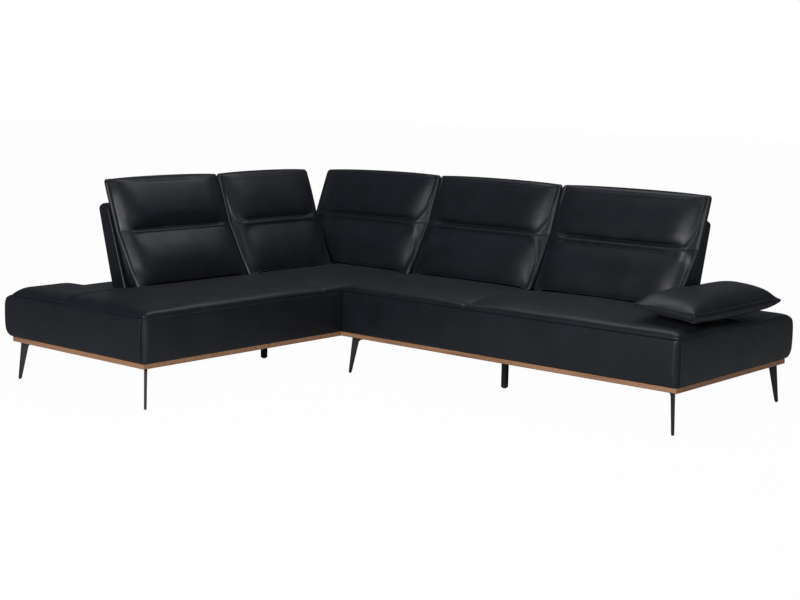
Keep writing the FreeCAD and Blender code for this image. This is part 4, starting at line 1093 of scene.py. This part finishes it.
@dataclass
class Platform:
    """Both modules' borders and seats.

    right and left are the wings' lengths from the inner corner, frame the depth of the rear
    borders' inner face, thick the borders' thickness. The splits are where two seats meet.
    """

    right: float = 1.920
    left: float = 1.258
    frame: float = 0.977
    thick: float = 0.025
    left_split: float = -0.132
    right_split: float = 0.774

    def borders(self) -> list[Skirt]:
        """The seven padded borders."""
        right, left, rear = Wing.RIGHT, Wing.LEFT, PLATFORM_DEPTH
        inner_right, inner_left = self.right - self.thick, self.thick - self.left
        return [
            FrontSkirt("right_front", right, 0.0, self.right, 0.0, self.thick, round_end=True,
                       joint_start=True),
            FrontSkirt("left_front", left, -self.left, self.frame, 0.0, self.thick, round_start=True),
            EndSkirt("right_end", right, inner_right, self.right, self.thick, rear),
            EndSkirt("left_end", left, -self.left, inner_left, self.thick, rear, at_start=True),
            RearSkirt("right_rear", right, 0.0, inner_right, self.frame, rear),
            RearSkirt("left_rear", left, inner_left, rear, self.frame, rear, turns_corner=True),
            RearSkirt("corner_rear", right, -self.frame, 0.0, self.frame, rear),
        ]

    def seats(self) -> list[Seat]:
        """The four seats."""
        right, left = Wing.RIGHT, Wing.LEFT
        ends, middle = 0.012, 0.026
        return [
            OpenEndSeat("left_seat", left, -self.left, self.left_split, start_roll=0.06, end_valley=ends),
            CornerSeat("corner_seat", left, self.left_split, PLATFORM_DEPTH, end_roll=0.05,
                       start_valley=ends),
            Seat("middle_seat", right, 0.0, self.right_split, start_roll=0.06, end_valley=middle),
            EndSeat("right_seat", right, self.right_split, self.right, end_roll=0.055,
                    start_valley=middle),
        ]

    def build(self, finishes: Finishes) -> None:
        """Make all of it."""
        for part in (*self.borders(), *self.seats()):
            part.build(finishes)


# Back units


@dataclass
class BackCushion:
    """A back cushion of two lobes with a sewn channel between them.

    flare and tuck shape its right side, start_drop lowers its left top corner.
    """

    body: str
    wing: Wing
    start: float
    end: float
    flare: float = 0.0
    tuck: float = 0.0
    start_drop: float = 0.0
    foot: float = 0.4625
    channel: float = 0.713
    top: float = 0.951
    front_foot: float = 0.500
    front_channel: float = 0.636
    front_top: float = 0.722
    rear_foot: float = 0.600
    rear_top: float = 0.782
    side_roll: float = 0.165
    side_drop: float = 0.013
    edge_back: float = 0.026

    # The sewn channel's height above the foot
    SEWN = 0.2515

    # Fullness by height above the foot, in the middle and beside the side seams
    LOBES = (
        (0.0, 0.0), (0.005, 0.008), (0.015, 0.0145), (0.035, 0.0235), (0.065, 0.033), (0.1, 0.0405),
        (0.135, 0.044), (0.17, 0.0425), (0.205, 0.036), (0.225, 0.0315), (0.232, 0.029), (0.2365, 0.027),
        (0.24, 0.0295), (0.246, 0.0295), (0.2495, 0.026), (0.252, 0.012), (0.255, 0.011), (0.26, 0.018),
        (0.267, 0.026), (0.279, 0.034), (0.296, 0.04), (0.325, 0.0435), (0.365, 0.043), (0.41, 0.0375),
        (0.445, 0.03), (0.466, 0.0225), (0.4725, 0.019), (0.4745, 0.0172), (0.4765, 0.015),
        (0.4805, 0.0128), (0.486, 0.006), (0.4885, 0.0),
    )
    PLAIN = (
        (0.0, 0.0), (0.005, 0.009), (0.015, 0.016), (0.035, 0.0245), (0.07, 0.034), (0.125, 0.04),
        (0.19, 0.0395), (0.2505, 0.038), (0.32, 0.0385), (0.365, 0.0375), (0.41, 0.034), (0.445, 0.028),
        (0.468, 0.0205), (0.48, 0.013), (0.486, 0.006), (0.4885, 0.0),
    )
    UP = (
        0.0, 0.002, 0.006, 0.012, 0.021, 0.033, 0.048, 0.064, 0.081, 0.098, 0.115, 0.132, 0.149, 0.166,
        0.182, 0.197, 0.21, 0.221, 0.229, 0.234, 0.2365, 0.239, 0.2425, 0.246, 0.2485, 0.2505, 0.2525,
        0.2555, 0.26, 0.266, 0.274, 0.284, 0.297, 0.312, 0.329, 0.346, 0.363, 0.38, 0.397, 0.414, 0.43,
        0.445, 0.457, 0.465, 0.4715, 0.4735, 0.475, 0.4765, 0.479, 0.4825, 0.486, 0.4885,
    )
    THROUGH = (0.0, 0.05, 0.12, 0.22, 0.34, 0.46, 0.485, 0.5, 0.515, 0.54, 0.7, 0.86, 0.95, 1.0)

    def build(self, finishes: Finishes, shop: CoverShop) -> None:
        """Make the cushion, hold its seams and hand it to the cloth work."""
        width = self.end - self.start
        stops = edge_stops(width, (0.002, 0.006, 0.012, 0.020, 0.030, 0.042, 0.055), 0.0135)
        blank = Blank([stop / width for stop in stops], self.UP, self.THROUGH)
        piece = blank.form(self.body + "_pillow", self.place)
        upholster(piece, finishes, self.body, self.body + "_cushion")
        shop.covers.append(Cover(piece, blank.along_seams(self.is_seam), reach=0.009))

    @staticmethod
    def is_seam(across: float, up: float, through: float) -> bool:
        """Whether the cover is sewn down there: sides, rear, foot and channel."""
        return across in (0.0, 1.0) or through > 0.6 or up == 0.0 or 0.236 < up < 0.256

    def sides(self, up: float) -> tuple[float, float]:
        """The two side lines of the cushion at a height above its foot."""
        share = up / (self.top - self.foot)
        widen = self.flare * math.sin(math.pi * min(1.0, share * 1.25) / 2)
        drawn = self.tuck * max(0.0, 1.0 - share / 0.45)
        corner = 0.004 * (1.0 - roll(min(up, self.top - self.foot - up), 0.08))
        return self.start + corner, self.end + widen - drawn - corner

    def front_line(self, up: float) -> float:
        """The straight line that the front lobes stand on."""
        lower = self.channel - self.foot
        if up < lower:
            return self.front_foot + (self.front_channel - self.front_foot) * up / lower
        upper = self.top - self.channel
        return self.front_channel + (self.front_top - self.front_channel) * (up - lower) / upper

    def fullness(self, across: float, up: float) -> float:
        """How far the front stands out of the plane of its edge seams."""
        side = min(across, 1.0 - across) * (self.end - self.start)
        share = min(1.0, side / self.side_roll)
        rise = 0.75 * (1.0 - (1.0 - share) ** 2) + 0.25 * roll(side, self.side_roll)
        lobed = smooth_step(0.045, 0.120, side)
        cut = 0.0022 * math.exp(-(((up - self.SEWN) / 0.0022) ** 2)) * smooth_step(0.0, 0.01, side)
        swell = (read_table(self.PLAIN, up) - cut) * (1.0 - lobed) + read_table(self.LOBES, up) * lobed
        return swell * (0.06 + 0.94 * rise)

    def puckers(self, across: float, up: float) -> float:
        """Short folds that run out from the channel."""
        width = self.end - self.start
        side = min(across, 1.0 - across) * width
        over = up - self.SEWN
        lessen = math.exp(-over / 0.022) if over > 0.0 else 0.45 * math.exp((over + 0.012) / 0.012)
        wave = noise.noise(Vector((across * width * 34.0, self.start * 7.0, 0.4)))
        return 0.0026 * wave * min(1.0, lessen) * smooth_step(0.02, 0.09, side)

    def place(self, across: float, up: float, through: float) -> Vector:
        """Where a point of the block lies on the cushion."""
        left, right = self.sides(up)
        width = right - left
        side = min(across, 1.0 - across) * width
        along, height = left + width * across, self.foot + up
        share = up / (self.top - self.foot)
        rear = self.rear_foot + (self.rear_top - self.rear_foot) * share
        front = self.front_line(up) + self.edge_back - self.fullness(across, up) + self.puckers(across, up)
        front += self.side_drop * (1.0 - min(1.0, side / 0.10)) ** 2
        front += lumps(self.wing.place(along, 0.0, height), 0.17, 0.0028) * roll(side, 0.1)
        front -= 0.014 * (fade(0.0, 0.075, side) * fade(0.0, 0.075, up)) * (1.0 - through)
        seam = 0.016 * (1.0 - roll(through, 0.5)) + 0.006 * (1.0 - roll(1.0 - through, 0.2))
        seam += 0.0016 * math.exp(-(((through - 0.5) / 0.012) ** 2))
        inward = 1.0 if across < 0.5 else -1.0
        above = self.top - self.foot - up
        gap, fall = rounded(side, above, 0.011)
        along += inward * seam * fade(0.0, 0.07, side)
        along += inward * (gap - side)
        height -= fall - above
        height += self.edge_rise(across, up, through, side)
        return self.wing.place(along, front + (rear - front) * through, height)

    def edge_rise(self, across: float, up: float, through: float, side: float) -> float:
        """How far the foot and the crowned top stand above their straight lines.

        Args:
            across: Share of the width.
            up: Height above the foot.
            through: Share of the thickness.
            side: Distance from the nearer side seam.

        Returns:
            The rise, below 0 where the edge hangs.
        """
        low = fade(0.0, 0.05, up) * (1.0 - through)
        high = fade(0.0, 0.03, self.top - self.foot - up)
        rise = (0.003 * smooth_step(0.0, 0.12, side) - 0.011 * fade(0.0, 0.09, side) - 0.004) * low
        rise += high * (0.012 * math.sqrt(max(0.0, 4.0 * across * (1.0 - across))) + 0.002)
        rise -= 0.004 * high * abs(through - 0.4) * smooth_step(0.0, 0.04, side)
        return rise - self.start_drop * (1.0 - across) ** 1.5 * smooth_step(0.25, 0.46, up)


@dataclass
class BackPanel:
    """The padded board behind a cushion, with a rounded top edge."""

    body: str
    wing: Wing
    start: float
    end: float
    low: float = 0.430
    high: float = 0.838
    front_low: float = 0.622
    front_high: float = 0.757
    thick_low: float = 0.102
    thick_high: float = 0.073
    corner: float = 0.030

    UP = (
        0.0, 0.003, 0.008, 0.016, 0.05, 0.10, 0.16, 0.22, 0.28, 0.33, 0.36, 0.377, 0.388, 0.396, 0.402,
        0.406, 0.408,
    )
    THROUGH = (0.0, 0.05, 0.14, 0.3, 0.5, 0.7, 0.86, 0.95, 1.0)

    # The share of the thickness where its middle plane lies
    MIDDLE = 0.46

    def build(self, finishes: Finishes) -> None:
        """Make the panel and dress it."""
        across = edge_stops(self.end - self.start, (0.0025, 0.006, 0.011, 0.018, 0.03, 0.06), 0.05)
        piece = Blank(across, self.UP, self.THROUGH).form(self.body + "_board", self.place)
        add_subdivision(piece)
        upholster(piece, finishes, self.body, self.body + "_panel")

    def place(self, across: float, up: float, through: float) -> Vector:
        """Where a point of the block lies on the panel."""
        width = self.end - self.start
        total = self.high - self.low
        share = up / total
        front = self.front_low + (self.front_high - self.front_low) * share
        thick = self.thick_low + (self.thick_high - self.thick_low) * share
        side = min(across, width - across)
        sides, crest = roll(side + 0.001, 0.014), roll(total - up + 0.0008, self.corner)
        shrink = (0.80 + 0.20 * sides) * (0.40 + 0.60 * crest)
        depth = front + thick * self.MIDDLE + (through - self.MIDDLE) * thick * shrink
        if through == 1.0:
            depth += 0.004 * math.sin(math.pi * share) * roll(side, 0.08)
        gap, fall = rounded(side, total - up, self.corner)
        inward = 1.0 if across < width / 2 else -1.0
        return self.wing.place(self.start + across + inward * (gap - side), depth, self.high - fall)


@dataclass
class BackRow:
    """All five back units."""

    # How much narrower a panel is than its cushion, at each side
    inset: float = 0.003

    def cushions(self) -> list[BackCushion]:
        """The five cushions, from the open end round the corner to the armrest."""
        return [
            BackCushion("left_back", Wing.LEFT, -0.863, -0.1365),
            BackCushion("inner_back", Wing.LEFT, -0.1335, 0.494, flare=0.032),
            BackCushion("corner_back", Wing.RIGHT, -0.839, -0.0105, start_drop=0.013),
            BackCushion("middle_back", Wing.RIGHT, -0.0075, 0.7755),
            BackCushion("right_back", Wing.RIGHT, 0.7785, 1.612, tuck=0.022),
        ]

    def build(self, finishes: Finishes, shop: CoverShop) -> None:
        """Make the cushions, and a panel behind each."""
        for cushion in self.cushions():
            cushion.build(finishes, shop)
            start, end = cushion.start + self.inset, cushion.end - cushion.tuck - self.inset
            BackPanel(cushion.body, cushion.wing, start, end).build(finishes)


# Armrest


@dataclass
class ArmrestPad:
    """The lens shaped pad: crowned top and underside joined by a narrow boxing."""

    start: float = 1.604
    width: float = 0.314
    front: float = 0.133
    length: float = 0.784
    droop: float = 0.027
    middle: float = 0.508
    boxing: float = 0.030
    top_crown: float = 0.048
    under_crown: float = 0.037
    cord: float = 0.0036

    # Fullness by the share of the length from the front
    SWELL = (
        (0.0, 0.0), (0.02, 0.22), (0.06, 0.46), (0.13, 0.70), (0.25, 0.90), (0.42, 1.0), (0.60, 1.0),
        (0.76, 0.95), (0.87, 0.80), (0.94, 0.56), (0.98, 0.28), (1.0, 0.0),
    )

    def build(self, finishes: Finishes, shop: CoverShop) -> None:
        """Make the pad and its two cords, and dress them."""
        margins = (0.002, 0.006, 0.013, 0.024, 0.04)
        across, along = edge_stops(self.width, margins, 0.018), edge_stops(self.length, margins, 0.020)
        blank = Blank(across, along, [0.0, 0.06, 0.3, 0.5, 0.7, 0.94, 1.0])
        piece = blank.form("armrest_cover", self.place)
        upholster(piece, finishes, "armrest", "armrest_pad")
        shop.covers.append(Cover(piece, blank.along_seams(self.is_seam), reach=0.005))
        self.add_cord("armrest_upper_piping", 1.0, finishes)
        self.add_cord("armrest_lower_piping", 0.0, finishes)

    def is_seam(self, across: float, run: float, through: float) -> bool:
        """Whether the cover is held there: the underside and the boxing's seams."""
        at_edge = across in (0.0, self.width) or run in (0.0, self.length)
        return through < 0.4 or (through > 0.9 and at_edge)

    def add_cord(self, name: str, through: float, finishes: Finishes) -> None:
        """A leather covered cord sewn into one seam, all round.

        Args:
            name: The cord's name.
            through: 1 for the upper seam, 0 for the lower one.
            finishes: The finishes to dress it with.
        """
        runs, spans = (
            edge_stops(size, (0.004, 0.010, 0.02), 0.025)[1:-1] for size in (self.length, self.width)
        )
        loop = [(span, self.length) for span in reversed(spans) if span <= self.width / 2]
        loop += [(0.0, run) for run in reversed(runs)]
        loop += [(span, 0.0) for span in spans]
        loop += [(self.width, run) for run in runs]
        loop += [(span, self.length) for span in reversed(spans) if span >= self.width / 2 - 0.012]
        path = [self.place(span, run, through) for span, run in loop]
        upward = Vector((0.0, 0.0, 1.0))

        def ring(number: float, side: float, rise: float) -> Vector:
            """Where a corner of the cord's square section lies."""
            index = round(number)
            ahead = (path[min(index + 1, len(path) - 1)] - path[max(index - 1, 0)]).normalized()
            beside = ahead.cross(upward).normalized()
            return path[index] + (beside * side + beside.cross(ahead) * rise) * self.cord

        numbers = [float(number) for number in range(len(path))]
        piece = Blank(numbers, [-1.0, 1.0], [-1.0, 1.0]).form(name, ring)
        add_subdivision(piece, 2)
        dress(piece, finishes)
        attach(piece, "armrest")

    def taper(self, across: float, run: float) -> float:
        """How thin the pad gets towards its ends; the front outer corner gets thicker."""
        side, end = min(across, self.width - across), min(run, self.length - run)
        if across > 0.5 * self.width and run < 0.5 * self.length:
            return 1.0 + 0.25 * fade(0.0, 0.06, end + side)
        return 1.0 - 0.7 * fade(0.0, 0.09, end) * fade(0.0, 0.16, side)

    def place(self, across: float, run: float, through: float) -> Vector:
        """Where a point of the block lies on the pad."""
        side, end = min(across, self.width - across), min(run, self.length - run)
        swell = read_table(self.SWELL, run / self.length)
        beside_back = smooth_step(0.24, 0.34, run) * fade(0.0, 0.14, across)
        power = 2.8 - 0.9 * beside_back
        crown = math.sqrt(max(0.0, 1.0 - (abs(across / self.width - 0.5) * 2.0) ** power))
        top = self.boxing / 2 + self.top_crown * swell * crown + 0.004 * roll(end, 0.03) * roll(side, 0.03)
        under = self.boxing / 2 + self.under_crown * swell * crown
        height = self.middle + 0.006 * (1.0 - beside_back) - self.droop * across / self.width
        height += ((top + under) * through - under) * self.taper(across, run)
        pull = 0.004 * (1.0 - swell) ** 2
        edge = 0.004 * (1.0 - roll(min(through, 1.0 - through), 0.5))
        inward = 1.0 if across < self.width / 2 else -1.0
        along = self.start + across + 0.013 * beside_back
        along += inward * (pull + edge) * fade(0.0, self.width / 2, side)
        forward = 1.0 if run < self.length / 2 else -1.0
        depth = self.front + run + forward * edge * fade(0.0, 0.1, end)
        return Wing.RIGHT.place(along, depth, height)


# Hardware and woodwork that come over from the frame


@dataclass
class Underframe:
    """Dresses the trim, the timber frame, the legs and the fittings."""

    edge: float = 0.0008
    weld: float = 0.00002

    def build(self, finishes: Finishes) -> None:
        """Give every carried-over node its finish, found by the end of its name."""
        fittings = ("_brackets", "module_connectors", "back_guide_rails", "hinge_plates", "hinge_arms")
        looks = (
            (("right_front_trim", "left_end_trim"), finishes.right_oak, True),
            (("_trim",), finishes.left_oak, True),
            (("_rail", "corner_blocks"), finishes.timber, False),
            (("_leg", "_post"), finishes.coat, True),
            (("_dust_cover",), finishes.cloth, False),
            (fittings, finishes.steel, False),
            (("seat_webbing",), finishes.webbing, False),
            (("floor_glides",), finishes.plastic, False),
        )
        for name in frame["nodes"]:
            for endings, material, has_edges in looks:
                if name.endswith(endings):
                    self.dress_node(name, material, has_edges)
                    break

    def dress_node(self, name: str, material: Material, has_edges: bool) -> None:
        """Give a carried-over node a finish, and break its edges where they show."""
        node = frame["nodes"][name]
        for slot in node.material_slots:
            slot.material = material
        if has_edges:
            weld = node.modifiers.new("Joined_faces", "WELD")
            weld.merge_threshold = self.weld
            bevel = node.modifiers.new("Broken_edges", "BEVEL")
            bevel.width = self.edge
            bevel.segments = 2
            bevel.limit_method = "ANGLE"
            bevel.angle_limit = math.radians(35)
            bevel.harden_normals = True
        log.info("%s dressed as %s", name, material.name)


def main() -> None:
    """Build the sofa's looks in order."""
    logging.basicConfig(level=logging.INFO, format="%(message)s")
    finishes = Finishes()
    shop = CoverShop()
    Studio().build()
    Underframe().build(finishes)
    Platform().build(finishes)
    BackRow().build(finishes, shop)
    ArmrestPad().build(finishes, shop)
    shop.finish()


if __name__ == "__main__":
    main()
